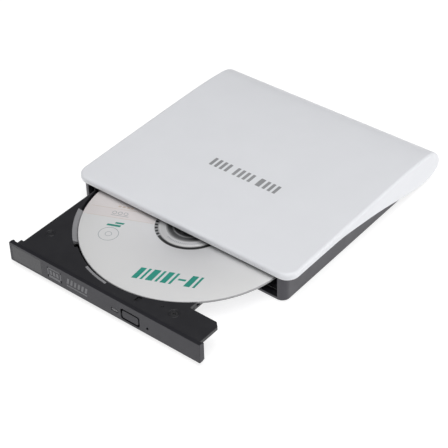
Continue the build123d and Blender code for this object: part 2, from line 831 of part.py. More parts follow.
ramp_spans = [(205.0, 226.0, 2.6), (245.0, 259.5, 1.6)]
with BuildPart() as edge_ramps:
    # Sloped lips that guide the disc into the recess.
    for start, end, width in ramp_spans:
        with BuildSketch(Plane.XY.offset(recess_z)):
            with BuildLine():
                inner_arc = CenterArc((disc_x, disc_y), recess_radius - 0.5, start, end - start)
                outer_arc = CenterArc((disc_x, disc_y), recess_radius, start, end - start)
                Line(inner_arc @ 0, outer_arc @ 0)
                Line(inner_arc @ 1, outer_arc @ 1)
            make_face()
        extrude(amount=tray_top - recess_z - 0.4)
edge_ramps.part.label = "edge_ramps"

with BuildPart() as light_pipe:
    with BuildSketch(Plane.XZ.offset(-bezel_y - 0.1)):
        with Locations((window_led_x, led_z)):
            RectangleRounded(led_width, led_height, 0.4)
    extrude(amount=-bezel_plate - tray_wall)
light_pipe.part.label = "light_pipe"

front_board_y = bezel_y + bezel_plate + tray_wall + 0.3
plunger_y = front_board_y + 1.0
plunger_radius = 0.9
stem_reach = plunger_y - bezel_y - bezel_plate - button_travel - 0.05
front_board_width = 19.0
front_board_depth = 7.4
switch_width = 4.6
switch_depth = 3.0
switch_height = 3.4
with BuildPart() as eject_button:
    with BuildSketch(Plane.XZ.offset(-bezel_y - 0.15)):
        with Locations((button_x, button_z)):
            RectangleRounded(button_width, button_height, 1.1)
    extrude(amount=-bezel_plate - 0.9)
    fillet(eject_button.edges().group_by(Axis.Y)[0], radius=0.25)
    # Flange that keeps the button behind the bezel.
    with BuildSketch(Plane.XZ.offset(-bezel_y - bezel_plate - 0.1)):
        with Locations((button_x, button_z)):
            Rectangle(button_width + 2 * button_gap + 0.8, button_height + 0.9)
    extrude(amount=-0.8)
    # Stem that presses the switch.
    with BuildSketch(Plane.XZ.offset(-bezel_y - bezel_plate)):
        with Locations((button_x, button_z)):
            Circle(stem_radius)
    extrude(amount=-stem_reach)
eject_button.part.label = "eject_button"

with BuildPart() as front_board:
    with BuildSketch(Plane.XY.offset(wall_z)):
        with Locations((button_x - 5.0, front_board_y + 4.0)):
            Rectangle(front_board_width, front_board_depth)
    extrude(amount=drive_board_thickness)
front_board.part.label = "front_board"

with BuildPart() as eject_switch:
    with BuildSketch(Plane.XY.offset(wall_z + drive_board_thickness)):
        with Locations((button_x, front_board_y + 3.2)):
            Rectangle(switch_width, switch_depth)
    extrude(amount=switch_height)
    with BuildSketch(Plane.XZ.offset(-plunger_y)):
        with Locations((button_x, button_z)):
            Circle(plunger_radius)
    extrude(amount=plunger_y - front_board_y - 1.7)
eject_switch.part.label = "eject_switch"

with BuildPart() as under_cover:
    # Steel sheet below the tray, narrower where the right side wall stops.
    with BuildSketch(Plane.XY.offset(tray_z)):
        with BuildLine():
            Polyline(
                (-tray_left, bezel_y + bezel_plate + 0.2),
                (trim_front, bezel_y + bezel_plate + 0.2),
                (trim_front, bezel_y + side_wall_back),
                (tray_right, bezel_y + side_wall_back),
                (tray_right, tray_rear),
                (-tray_left, tray_rear),
                close=True,
            )
        make_face()
    extrude(amount=under_plate)
    # Notch for the eject button and vents.
    with BuildSketch(Plane.XY.offset(tray_z)):
        with Locations((button_x, bezel_y + bezel_plate + 1.6)):
            Rectangle(button_width + 2.4, 4.4)
        for back in (84, 94, 104):
            with Locations((-30, bezel_y + back)):
                SlotOverall(26, 3)
    extrude(amount=under_plate, mode=Mode.SUBTRACT)
under_cover.part.label = "under_cover"

tray_screws = screws([(tray_screw_x, tray_screw_y)], tray_top - 0.15, 3.0, up=False)
tray_screws.part.label = "tray_screw"

# ---------------------------------------------------------------- latch
solenoid_x = tray_right - 10.1
solenoid_y = bezel_y + 10.0
latch_z = wall_z + 2.2
latch_thickness = 1.6
with BuildPart() as latch_solenoid:
    with BuildSketch(Plane.XY.offset(wall_z)):
        with Locations((solenoid_x - 0.4, solenoid_y)):
            Rectangle(8.0, 9.0)
    extrude(amount=1.8)
    with BuildSketch(Plane.XZ.offset(-solenoid_y - 3.4)):
        with Locations((solenoid_x - 0.4, wall_z + 4.0)):
            Circle(2.2)
    extrude(amount=6.8)
latch_solenoid.part.label = "latch_solenoid"

with BuildPart() as latch_lever:
    # Lever on its post, drawn let go: the tooth stands clear of the pin's path.
    with BuildSketch(Plane(origin=(pivot_x, pivot_y, latch_z), x_dir=(1, 0, 0), z_dir=(0, 0, 1))) as flat:
        with Locations(Rotation(0, 0, 15)):
            Circle(pivot_radius + 1.2)
            with Locations((0, 4.6)):
                Rectangle(2.2, 9.2)
            with Locations((1.8, 8.4)):
                Rectangle(5.8, 1.8)
            with Locations((-3.6, 0)):
                Rectangle(7.2, 1.8)
            Circle(pivot_radius + 0.06, mode=Mode.SUBTRACT)
    extrude(amount=latch_thickness)
latch_lever.part.label = "latch_lever"

# ---------------------------------------------------------------- traverse
frame_top = damper_top - 0.1
frame_z = frame_top - frame_plate
rod_z = frame_z - 1.5
rotor_hole = rotor_radius + rotor_play
slot_half = 9.6
slot_end = 62.8
block_length = 2.5
block_width = 2.8
inner_block = 15.3
outer_block = 61.4
screw_end = 56.4
motor_radius = 1.8
motor_front = 14.0
nut_inner = -4.0          # follower nut on the sled, from the lens axis
motor_length = lens_inner + nut_inner - motor_front - 0.4
deck_z = recess_z - 0.8
deck_plate_steel = 0.4

with BuildPart() as traverse_frame:
    with BuildSketch(traverse.offset(frame_z)):
        with BuildLine():
            add(frame_outline())
        make_face()
        with Locations(*damper_places):
            Circle(4.0)
        for side in (-1, 1):
            with Locations((-8.0, side * (frame_half + 1.5))):
                Rectangle(8.0, 4.0)
        Circle(rotor_hole, mode=Mode.SUBTRACT)
        with Locations((slot_end / 2 + 5, 0)):
            Rectangle(slot_end - 10, 2 * slot_half, mode=Mode.SUBTRACT)
        with Locations((motor_front + motor_length / 2, screw_side)):
            Rectangle(motor_length + 1.4, 2 * motor_radius + 1.2, mode=Mode.SUBTRACT)
        with Locations(*damper_places):
            Circle(1.6, mode=Mode.SUBTRACT)
    extrude(amount=frame_plate)
    # Blocks that hold the ends of the rods and of the lead screw.
    with BuildSketch(traverse.offset(rod_z - rod_radius - 0.3)):
        for side in (-1, 1):
            with Locations((inner_block, side * rod_side), (outer_block, side * rod_side)):
                Rectangle(block_length, block_width)
        with Locations((screw_end + 0.9, screw_side)):
            Rectangle(1.5, 2.6)
    extrude(amount=frame_z - rod_z + rod_radius + 0.3)
    # Bores for the two rods.
    with BuildSketch(Plane(
        origin=traverse.from_local_coords((outer_block + 0.6, 0, rod_z)),
        x_dir=traverse.y_dir,
        z_dir=-traverse.x_dir,
    )):
        with Locations((-rod_side, 0), (rod_side, 0)):
            Circle(rod_radius)
    extrude(amount=outer_block - inner_block + 1.2, mode=Mode.SUBTRACT)
traverse_frame.part.label = "traverse_frame"

with BuildPart() as guide_rods:
    with BuildSketch(Plane(
        origin=traverse.from_local_coords((outer_block + 0.6, 0, rod_z)),
        x_dir=traverse.y_dir,
        z_dir=-traverse.x_dir,
    )):
        with Locations((-rod_side, 0), (rod_side, 0)):
            Circle(rod_radius)
    extrude(amount=outer_block - inner_block + 1.2)
guide_rods.part.label = "guide_rods"

with BuildPart() as frame_dampers:
    with BuildSketch(traverse.offset(frame_z - 0.5)):
        with Locations(*damper_places):
            Circle(damper_radius)
    extrude(amount=0.5)
    with BuildSketch(traverse.offset(frame_z)):
        with Locations(*damper_places):
            Circle(1.6)
    extrude(amount=frame_plate + 0.1)
    with BuildSketch(traverse.offset(frame_z - 0.5)):
        with Locations(*damper_places):
            Circle(screw_shaft)
    extrude(amount=frame_plate + 0.6, mode=Mode.SUBTRACT)
frame_dampers.part.label = "frame_dampers"

damper_spots = [tuple(traverse.from_local_coords((x, y, 0)))[:2] for x, y in damper_places]
damper_screws = screws(damper_spots, frame_z - 0.5 - screw_head_height, 1.8)
damper_screws.part.label = "damper_screws"

with BuildPart() as deck_plate:
    # Thin black sheet that closes the recess floor round the turntable and the lens slot.
    with BuildSketch(traverse.offset(deck_z)):
        with BuildLine():
            add(frame_outline(-0.6))
        make_face()
        Circle(rotor_hole, mode=Mode.SUBTRACT)
        with Locations((slot_end / 2 + 5, 0)):
            Rectangle(slot_end - 10, 15.0, mode=Mode.SUBTRACT)
    extrude(amount=deck_plate_steel)
    with BuildSketch(traverse.offset(frame_top)):
        with Locations((-14.6, 18.0), (-14.6, -18.0), (54.0, 18.0), (54.0, -18.0)):
            Circle(1.2)
    extrude(amount=deck_z - frame_top)
deck_plate.part.label = "deck_plate"

# Sled: carries the lens along the rods.
sled_z = wall_z + 0.4
arm_top = frame_z - 0.25
body_top = frame_z + 1.1
arm_inner = -5.5
arm_outer = 1.5
body_inner = -8.5
body_outer = 5.0
body_half = 8.8
nut_length = 3.0

with BuildPart() as sled:
    with BuildSketch(traverse.offset(sled_z)):
        with Locations((lens_rest + (arm_inner + arm_outer) / 2, 0)):
            Rectangle(arm_outer - arm_inner, 2 * (rod_side + 2.6))
        with Locations((lens_rest + (body_inner + body_outer) / 2, 0)):
            Rectangle(body_outer - body_inner, 2 * body_half)
        with Locations((lens_rest + nut_inner + nut_length / 2, rod_side + 4.0)):
            Rectangle(nut_length, 2 * (screw_side + 2.0 - rod_side - 4.0))
    extrude(amount=arm_top - sled_z)
    with BuildSketch(traverse.offset(arm_top)):
        with Locations((lens_rest + (body_inner + body_outer) / 2, 0)):
            Rectangle(body_outer - body_inner, 2 * body_half)
    extrude(amount=body_top - arm_top)
    with BuildSketch(Plane(
        origin=traverse.from_local_coords((lens_rest + 10, 0, rod_z)),
        x_dir=traverse.y_dir,
        z_dir=-traverse.x_dir,
    )):
        with Locations((-rod_side, 0), (rod_side, 0)):
            Circle(rod_radius + sled_fit)
        with Locations((screw_side, 0)):
            Circle(lead_radius + sled_fit)
    extrude(amount=22, mode=Mode.SUBTRACT)
    # Well below the lens.
    with BuildSketch(traverse.offset(body_top)):
        with Locations((lens_rest, 0)):
            Circle(2.0)
    extrude(amount=-2.0, mode=Mode.SUBTRACT)
sled.part.label = "sled"

with BuildPart() as focus_magnets:
    with BuildSketch(traverse.offset(body_top)):
        with Locations((lens_rest - 5.0, 0), (lens_rest + 4.3, 0)):
            Rectangle(1.2, 8.0)
    extrude(amount=1.2)
focus_magnets.part.label = "focus_magnets"

focus_travel = 0.4
with BuildPart() as lens_holder:
    with BuildSketch(traverse.offset(body_top + focus_travel + 0.05)):
        with Locations((lens_rest - 0.3, 0)):
            Rectangle(6.6, 9.0)
    extrude(amount=0.9)
    fillet(lens_holder.edges().filter_by(Axis.Z), radius=0.8)
    with BuildSketch(traverse.offset(body_top + focus_travel + 0.05)):
        with Locations((lens_rest, 0)):
            Circle(1.8)
    extrude(amount=0.9, mode=Mode.SUBTRACT)
lens_holder.part.label = "lens_holder"

with BuildPart() as lens:
    with BuildSketch(traverse.offset(body_top + focus_travel + 0.25)):
        with Locations((lens_rest, 0)):
            Circle(1.8)
    extrude(amount=0.8)
    fillet(lens.edges().group_by(Axis.Z)[-1], radius=0.3)
lens.part.label = "lens"

with BuildPart() as sled_motor:
    with BuildSketch(Plane(
        origin=traverse.from_local_coords((motor_front, screw_side, rod_z)),
        x_dir=traverse.y_dir,
        z_dir=traverse.x_dir,
    )):
        Circle(motor_radius)
    extrude(amount=motor_length)
sled_motor.part.label = "sled_motor"

with BuildPart() as lead_screw:
    with BuildSketch(Plane(
        origin=traverse.from_local_coords((motor_front + motor_length + 0.1, screw_side, rod_z)),
        x_dir=traverse.y_dir,
        z_dir=traverse.x_dir,
    )):
        Circle(lead_radius)
    extrude(amount=screw_end - motor_front - motor_length - 0.2)
lead_screw.part.label = "lead_screw"

# ---------------------------------------------------------------- spindle
motor_plate = 0.6
stator_z = wall_z + 0.4 + motor_plate
cup_z = frame_z + 0.1
hub_top = disc_z + disc_thickness + 0.7
claw_angles = (30, 150, 270)
claw_z = disc_z + disc_thickness + 0.1
claw_travel = 0.9

with BuildPart() as motor_base:
    with BuildSketch(traverse.offset(wall_z + 0.4)):
        Circle(17.0)
        with Locations((19, 0)):
            Rectangle(10, 40, mode=Mode.SUBTRACT)
    extrude(amount=motor_plate)
    # Posts up to the frame.
    with BuildSketch(traverse.offset(stator_z)):
        with PolarLocations(15.7, 3, 110, 140):
            Circle(1.1)
    extrude(amount=frame_z - stator_z)
    # Bearing sleeve for the shaft.
    with BuildSketch(traverse.offset(stator_z)):
        Circle(2.4)
        Circle(1.04, mode=Mode.SUBTRACT)
    extrude(amount=cup_z - 0.3 - stator_z)
motor_base.part.label = "motor_base"

with BuildPart() as stator:
    with BuildSketch(traverse.offset(stator_z)):
        Circle(5.0)
        with PolarLocations(0, 9):
            with Locations((7.8, 0)):
                Rectangle(6.4, 2.2)
        Circle(2.4, mode=Mode.SUBTRACT)
    extrude(amount=cup_z - 0.5 - stator_z)
stator.part.label = "stator"

with BuildPart() as rotor_cup:
    with BuildSketch(Plane.XY.offset(cup_z)):
        with Locations((disc_x, disc_y)):
            Circle(rotor_radius)
    extrude(amount=0.8)
    with BuildSketch(Plane.XY.offset(stator_z + 0.3)):
        with Locations((disc_x, disc_y)):
            Circle(rotor_radius)
            Circle(rotor_radius - 1.0, mode=Mode.SUBTRACT)
    extrude(amount=cup_z - stator_z - 0.3)
    with BuildSketch(Plane.XY.offset(stator_z + 0.1)):
        with Locations((disc_x, disc_y)):
            Circle(1.0)
    extrude(amount=cup_z - stator_z - 0.1)
rotor_cup.part.label = "rotor_cup"

with BuildPart() as turntable:
    with BuildSketch(Plane.XY.offset(cup_z + 0.8)):
        with Locations((disc_x, disc_y)):
            Circle(rotor_radius - 0.3)
    extrude(amount=disc_z - 0.5 - cup_z - 0.8)
    with BuildSketch(Plane.XY.offset(disc_z - 0.5)):
        with Locations((disc_x, disc_y)):
            Circle(disc_hole - 0.1)
    extrude(amount=hub_top - disc_z + 0.5)
    chamfer(turntable.edges().group_by(Axis.Z)[-1], length=0.6)
    # Slots for the claws.
    with BuildSketch(Plane.XY.offset(claw_z - 0.05)):
        for angle in claw_angles:
            with Locations(Location((disc_x, disc_y, 0), (0, 0, angle))):
                with Locations((6.4, 0)):
                    Rectangle(4.0, 2.4)
    extrude(amount=2.0, mode=Mode.SUBTRACT)
turntable.part.label = "turntable"

with BuildPart() as grip_ring:
    with BuildSketch(Plane.XY.offset(disc_z - 0.5)):
        with Locations((disc_x, disc_y)):
            Circle(rotor_radius - 0.4)
            Circle(rotor_radius - 3.4, mode=Mode.SUBTRACT)
    extrude(amount=0.5)
grip_ring.part.label = "grip_ring"

claws = []
for number, angle in enumerate(claw_angles, start=1):
    claw_plane = Plane(
        origin=(disc_x, disc_y, claw_z),
        x_dir=(cos(radians(angle)), sin(radians(angle)), 0),
        z_dir=(0, 0, 1),
    )
    with BuildPart() as claw:
        with BuildSketch(claw_plane):
            with Locations((6.8, 0)):
                Rectangle(2.4, 2.0)
        extrude(amount=hub_top - claw_z - 0.1)
        chamfer(claw.edges().group_by(Axis.Z)[-1], length=0.15)
    claw.part.label = f"hub_claw_{number}"
    claws.append(claw)

with BuildPart() as disc:
    with BuildSketch(Plane.XY.offset(disc_z)):
        with Locations((disc_x, disc_y)):
            Circle(disc_radius)
            Circle(disc_hole, mode=Mode.SUBTRACT)
    extrude(amount=disc_thickness)
disc.part.label = "disc"

# ---------------------------------------------------------------- write the pieces
pieces = [
    top_cover, base_shell, rubber_feet, case_screws,
    bridge_board, bridge_chips, board_screws, usb_socket, usb_tongue, sata_plug,
    chassis_pan, chassis_lid, latch_pin, drive_board, drive_chips, sata_socket, flex_cable,
    left_guide, right_guide, left_slide, right_slide,
    bezel, tray, edge_ramps, light_pipe, eject_button, front_board, eject_switch,
    under_cover, tray_screws, latch_solenoid, latch_lever,
    traverse_frame, guide_rods, frame_dampers, damper_screws, deck_plate,
    sled, focus_magnets, lens_holder, lens, sled_motor, lead_screw,
    motor_base, stator, rotor_cup, turntable, grip_ring, *claws, disc,
]
for piece in pieces:
    export_step(piece.part, f"parts/{piece.part.label}.step")
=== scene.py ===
import json
import bpy
import bmesh
from math import atan2, cos, pi, radians, sin
from mathutils import Vector, Matrix


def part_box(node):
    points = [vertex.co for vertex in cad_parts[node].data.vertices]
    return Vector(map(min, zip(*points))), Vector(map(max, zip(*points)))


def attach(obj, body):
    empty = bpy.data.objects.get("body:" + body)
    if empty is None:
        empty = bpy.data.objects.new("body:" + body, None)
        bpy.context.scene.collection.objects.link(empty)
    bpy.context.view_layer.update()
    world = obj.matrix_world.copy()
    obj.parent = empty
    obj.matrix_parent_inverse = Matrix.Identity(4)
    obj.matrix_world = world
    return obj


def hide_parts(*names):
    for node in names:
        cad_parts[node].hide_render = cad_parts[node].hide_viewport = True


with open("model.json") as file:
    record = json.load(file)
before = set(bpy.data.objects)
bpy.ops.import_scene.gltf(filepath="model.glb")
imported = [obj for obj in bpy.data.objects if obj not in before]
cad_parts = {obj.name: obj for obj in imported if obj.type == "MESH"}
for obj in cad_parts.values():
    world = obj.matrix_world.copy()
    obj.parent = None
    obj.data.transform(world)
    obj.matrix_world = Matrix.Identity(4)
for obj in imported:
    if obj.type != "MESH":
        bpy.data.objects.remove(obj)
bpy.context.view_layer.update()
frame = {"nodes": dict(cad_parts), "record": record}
nodes = frame["nodes"]
mm = 0.001
print("frame loaded:", len(nodes), "nodes")


# Materials

def newMaterial(name, colour, roughness, metallic=0.0, specular=0.5, coat=0.0, coatRoughness=0.1):
    material = bpy.data.materials.new(name)
    material.use_nodes = True
    shader = material.node_tree.nodes["Principled BSDF"]
    shader.inputs["Base Color"].default_value = (*colour, 1.0)
    shader.inputs["Roughness"].default_value = roughness
    shader.inputs["Metallic"].default_value = metallic
    shader.inputs["Specular IOR Level"].default_value = specular
    shader.inputs["Coat Weight"].default_value = coat
    shader.inputs["Coat Roughness"].default_value = coatRoughness
    return material


def link(material, a, b):
    material.node_tree.links.new(a, b)


def addNode(material, kind, **values):
    node = material.node_tree.nodes.new(kind)
    for name, value in values.items():
        setattr(node, name, value)
    return node


def objectPoints(material, scale=(1, 1, 1)):
    # Object coordinates, in metres, stretched for a directional grain
    coordinates = addNode(material, "ShaderNodeTexCoord")
    mapping = addNode(material, "ShaderNodeMapping")
    mapping.inputs["Scale"].default_value = scale
    link(material, coordinates.outputs["Object"], mapping.inputs["Vector"])
    return mapping.outputs["Vector"]


def noise(material, size, detail=3.0, stretch=(1, 1, 1)):
    # Noise whose lumps are about size metres across
    texture = addNode(material, "ShaderNodeTexNoise")
    texture.inputs["Scale"].default_value = 1.0 / size
    texture.inputs["Detail"].default_value = detail
    link(material, objectPoints(material, stretch), texture.inputs["Vector"])
    return texture.outputs["Fac"]


def spread(material, value, low, high):
    # Maps 0.3..0.7 of a noise onto low..high
    ranger = addNode(material, "ShaderNodeMapRange")
    ranger.inputs["From Min"].default_value = 0.3
    ranger.inputs["From Max"].default_value = 0.7
    ranger.inputs["To Min"].default_value = low
    ranger.inputs["To Max"].default_value = high
    link(material, value, ranger.inputs["Value"])
    return ranger.outputs["Result"]


def shaderOf(material):
    return material.node_tree.nodes["Principled BSDF"]


def varyRoughness(material, size, low, high, stretch=(1, 1, 1)):
    result = spread(material, noise(material, size, 4.0, stretch), low, high)
    link(material, result, shaderOf(material).inputs["Roughness"])


def varyColour(material, size, first, second, stretch=(1, 1, 1)):
    mix = addNode(material, "ShaderNodeMix", data_type="RGBA")
    mix.inputs["A"].default_value = (*first, 1.0)
    mix.inputs["B"].default_value = (*second, 1.0)
    link(material, spread(material, noise(material, size, 4.0, stretch), 0.0, 1.0), mix.inputs["Factor"])
    link(material, mix.outputs["Result"], shaderOf(material).inputs["Base Color"])


def bump(material, height, strength, distance):
    node = addNode(material, "ShaderNodeBump")
    node.inputs["Strength"].default_value = strength
    node.inputs["Distance"].default_value = distance
    link(material, height, node.inputs["Height"])
    link(material, node.outputs["Normal"], shaderOf(material).inputs["Normal"])


def mouldedPlastic(name, colour, roughness, grain=0.00035, depth=0.00002, specular=0.5, shift=0.08):
    # Moulded plastic: fine spark grain, faint tone drift and uneven gloss
    material = newMaterial(name, colour, roughness, specular=specular)
    darker = tuple(c * (1 - shift) for c in colour)
    lighter = tuple(min(1.0, c * (1 + shift)) for c in colour)
    varyColour(material, 0.02, darker, lighter)
    varyRoughness(material, 0.006, roughness - 0.05, roughness + 0.05)
    bump(material, noise(material, grain, 2.0), 0.35, depth)
    return material


def brushedMetal(name, colour, roughness):
    # Metal with a fine grain from front to back
    material = newMaterial(name, colour, roughness, metallic=1.0)
    stretch = (1, 0.04, 1)
    varyRoughness(material, 0.0006, roughness - 0.08, roughness + 0.1, stretch)
    varyColour(material, 0.004, tuple(c * 0.9 for c in colour), colour, stretch)
    bump(material, noise(material, 0.0004, 2.0, stretch), 0.2, 0.00001)
    return material


plastics = {
    # grain and depth of the surface in metres, shift of its tone
    "white_plastic": dict(
        colour=(0.765, 0.775, 0.805), roughness=0.38, grain=0.0005, depth=0.000006, shift=0.01
    ),
    "black_plastic": dict(
        colour=(0.020, 0.020, 0.023), roughness=0.38, specular=0.8, grain=0.0003, depth=0.00002
    ),
    "tray_plastic": dict(colour=(0.018, 0.018, 0.021), roughness=0.42, grain=0.0003, depth=0.00002),
    "bezel_plastic": dict(
        colour=(0.016, 0.016, 0.019), roughness=0.36, specular=0.44, grain=0.0003, depth=0.00001
    ),
    "foot_rubber": dict(colour=(0.02, 0.02, 0.02), roughness=0.8, grain=0.0004, depth=0.00004),
    "chip_black": dict(colour=(0.02, 0.02, 0.022), roughness=0.55, grain=0.0002, depth=0.00001),
    "nylon": dict(colour=(0.05, 0.05, 0.055), roughness=0.5, grain=0.0004, depth=0.00001),
    "grey_ramp": dict(colour=(0.25, 0.25, 0.26), roughness=0.35, grain=0.0004, depth=0.00001),
    "lens_blue": dict(colour=(0.02, 0.025, 0.04), roughness=0.45, grain=0.0003, depth=0.00001),
    "flex_film": dict(colour=(0.35, 0.16, 0.03), roughness=0.35, grain=0.002, depth=0.00001),
    "board_green": dict(colour=(0.012, 0.10, 0.035), roughness=0.3, grain=0.002, depth=0.00001),
    "disc_label": dict(colour=(0.62, 0.62, 0.63), roughness=0.35, grain=0.001, depth=0.000002, shift=0.01),
}
metals = {
    "zinc_steel": dict(colour=(0.55, 0.55, 0.54), roughness=0.35),
    "black_steel": dict(colour=(0.03, 0.03, 0.032), roughness=0.45),
    # darker steel for the pan and lid: painted shade of the dark inside of the drive
    "painted_shade_steel": dict(colour=(0.16, 0.16, 0.16), roughness=0.5),
    "socket_steel": dict(colour=(0.66, 0.65, 0.62), roughness=0.25),
    "coil_copper": dict(colour=(0.60, 0.25, 0.10), roughness=0.35),
}
finishes = {name: mouldedPlastic(name, **values) for name, values in plastics.items()}
finishes.update({name: brushedMetal(name, **values) for name, values in metals.items()})
for name in ("black_plastic", "bezel_plastic"):
    # cool cast of the black parts
    shaderOf(finishes[name]).inputs["Specular Tint"].default_value = (0.93, 0.91, 1.0, 1.0)


def clearPlastic(name, colour, roughness, transmission):
    material = newMaterial(name, colour, roughness)
    shaderOf(material).inputs["Transmission Weight"].default_value = transmission
    shaderOf(material).inputs["IOR"].default_value = 1.49
    varyRoughness(material, 0.003, roughness - 0.03, roughness + 0.05)
    return material


finishes["light_guide"] = clearPlastic("light_guide", (0.12, 0.12, 0.13), 0.3, 0.2)
finishes["lens_glass"] = clearPlastic("lens_glass", (0.55, 0.65, 0.95), 0.05, 0.7)

slotOf = {entry["node"]: entry["material_slot"] for entry in frame["record"]["subparts"]}
# pan and lid take the darker steel, painted shade of the dark opening; the tray screw takes a plain black
# finish
paintedShadeAndBlackScrew = {"chassis_pan": "painted_shade_steel", "chassis_lid": "painted_shade_steel", "tray_screw": "chip_black"}
for name, node in nodes.items():
    node.data.materials.clear()
    node.data.materials.append(finishes[paintedShadeAndBlackScrew.get(name, slotOf[name])])
print("materials set")

# Helpers for the modelled pieces

def block(builder, low, high):
    # A box between two corners
    made = bmesh.ops.create_cube(builder, size=1)["verts"]
    low, high = Vector(low), Vector(high)
    bmesh.ops.scale(builder, verts=made, vec=high - low)
    bmesh.ops.translate(builder, verts=made, vec=(low + high) / 2)
    return made


def prism(builder, outline, low, high):
    # Raises an outline of (x, y) points from one height to another
    verts = [builder.verts.new((x, y, low)) for x, y in outline]
    face = builder.faces.new(verts)
    raised = bmesh.ops.extrude_face_region(builder, geom=[face])["geom"]
    top = [item for item in raised if isinstance(item, bmesh.types.BMVert)]
    bmesh.ops.translate(builder, verts=top, vec=(0, 0, high - low))
    return verts + top


def disk(builder, centre, radius, low, high, steps=48):
    made = bmesh.ops.create_cone(
        builder, cap_ends=True, segments=steps, radius1=radius, radius2=radius, depth=high - low
    )["verts"]
    bmesh.ops.translate(builder, verts=made, vec=(centre[0], centre[1], (low + high) / 2))
    return made


def turned(builder, profile, centre, steps=96, start=0.0, end=360.0):
    # Spins a closed (radius, height) profile round an upright axis
    whole = end - start > 359.9
    heading = radians(start)
    verts = [builder.verts.new((r * cos(heading), r * sin(heading), z)) for r, z in profile]
    edges = [builder.edges.new(pair) for pair in zip(verts, verts[1:] + verts[:1])]
    before = set(builder.verts) - set(verts)
    bmesh.ops.spin(
        builder, geom=verts + edges, cent=(0, 0, 0), axis=(0, 0, 1), dvec=(0, 0, 0),
        angle=radians(end - start), steps=steps, use_merge=whole, use_duplicate=False,
    )
    made = [vert for vert in builder.verts if vert not in before]
    if not whole:
        # close the two ends of a part turn
        ends = {edge for vert in made for edge in vert.link_edges if len(edge.link_faces) == 1}
        bmesh.ops.holes_fill(builder, edges=list(ends), sides=0)
    bmesh.ops.translate(builder, verts=made, vec=(centre[0], centre[1], 0))
    return made


def bevelEdges(builder, edges, width, segments=2):
    bmesh.ops.bevel(
        builder, geom=list(edges), offset=width, offset_type="OFFSET", segments=segments,
        profile=0.5, affect="EDGES", clamp_overlap=True, material=-1,
    )


def edgesAlong(verts, axis):
    # Edges of these vertices that run along x (0), y (1) or z (2)
    found = {edge for vert in verts for edge in vert.link_edges}
    along = []
    for edge in found:
        way = edge.verts[1].co - edge.verts[0].co
        if way.length and abs(way[axis]) > 0.999 * way.length:
            along.append(edge)
    return along


def meshObject(name, builder):
    bmesh.ops.remove_doubles(builder, verts=builder.verts, dist=1e-6)
    bmesh.ops.recalc_face_normals(builder, faces=builder.faces)
    mesh = bpy.data.meshes.new(name)
    builder.to_mesh(mesh)
    builder.free()
    piece = bpy.data.objects.new(name, mesh)
    bpy.context.scene.collection.objects.link(piece)
    return piece


def applyModifiers(piece):
    graph = bpy.context.evaluated_depsgraph_get()
    mesh = bpy.data.meshes.new_from_object(piece.evaluated_get(graph))
    old = piece.data
    piece.modifiers.clear()
    piece.data = mesh
    bpy.data.meshes.remove(old)
    mesh.name = piece.name


def combine(piece, builder, operation="DIFFERENCE"):
    # Cuts the built shape out of the piece, or joins it on
    tool = meshObject("tool", builder)
    modifier = piece.modifiers.new("combine", "BOOLEAN")
    modifier.object = tool
    modifier.operation = operation
    modifier.solver = "EXACT"
    applyModifiers(piece)
    mesh = tool.data
    bpy.data.objects.remove(tool)
    bpy.data.meshes.remove(mesh)


def finishPiece(piece, body, material, replaced=(), edge=0.0, sharp=40):
    builder = bmesh.new()
    builder.from_mesh(piece.data)
    bmesh.ops.remove_doubles(builder, verts=builder.verts, dist=2e-6)
    bmesh.ops.dissolve_degenerate(builder, edges=builder.edges, dist=2e-6)
    bmesh.ops.recalc_face_normals(builder, faces=builder.faces)
    for side in builder.faces:
        side.smooth = True
    for line in builder.edges:
        line.smooth = len(line.link_faces) == 2 and line.calc_face_angle(0) < radians(sharp)
    builder.to_mesh(piece.data)
    builder.free()
    piece.data.materials.clear()
    piece.data.materials.append(material)
    if edge:
        softer = piece.modifiers.new("softEdges", "BEVEL")
        softer.width = edge
        softer.segments = 2
        softer.limit_method = "ANGLE"
        softer.angle_limit = radians(sharp)
        softer.use_clamp_overlap = False
        softer.miter_outer = "MITER_ARC"
        even = piece.modifiers.new("evenShading", "WEIGHTED_NORMAL")
        even.keep_sharp = True
    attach(piece, body)
    if replaced:
        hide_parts(*replaced)
    return piece


# Disc

discLow, discHigh = (Vector(corner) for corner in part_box("disc"))
discCentre = ((discLow.x + discHigh.x) / 2, (discLow.y + discHigh.y) / 2)
discBase = discLow.z
discTop = discHigh.z

discValues = dict(
    steps=180,            # straight sides round the rim
    hole=7.5 * mm,        # radius
    edge=0.25 * mm,       # rounding of the rim
    holeEdge=0.15 * mm,
    groove=(16.6 * mm, 17.3 * mm),   # moulded groove round the clamping area
    grooveDepth=0.15 * mm,
    labelTurn=23.0,       # the print's baseline, from the +X axis
    ringBlur=0.18,        # width of the change between two tones, in millimetres
    dashes=46,            # round the dark ring
    dashGap=0.72,         # share of each that stays dark
    dashRing=(17.85 * mm, 19.6 * mm),
    dashSides=(-2.45, 1.2),          # dashed outside these two headings
    ticks=90,             # faint ones round the pale ring
    tickGap=0.55,
    tickRing=(14.6 * mm, 15.6 * mm),
    tickSides=(-0.9, -2.3),          # ticks between these two headings
    warmCorner=(4 * mm, -3.4 * mm, 19.8 * mm),   # right end, lower edge and inner radius
    warmth=0.7,
    foilTracks=180,
)


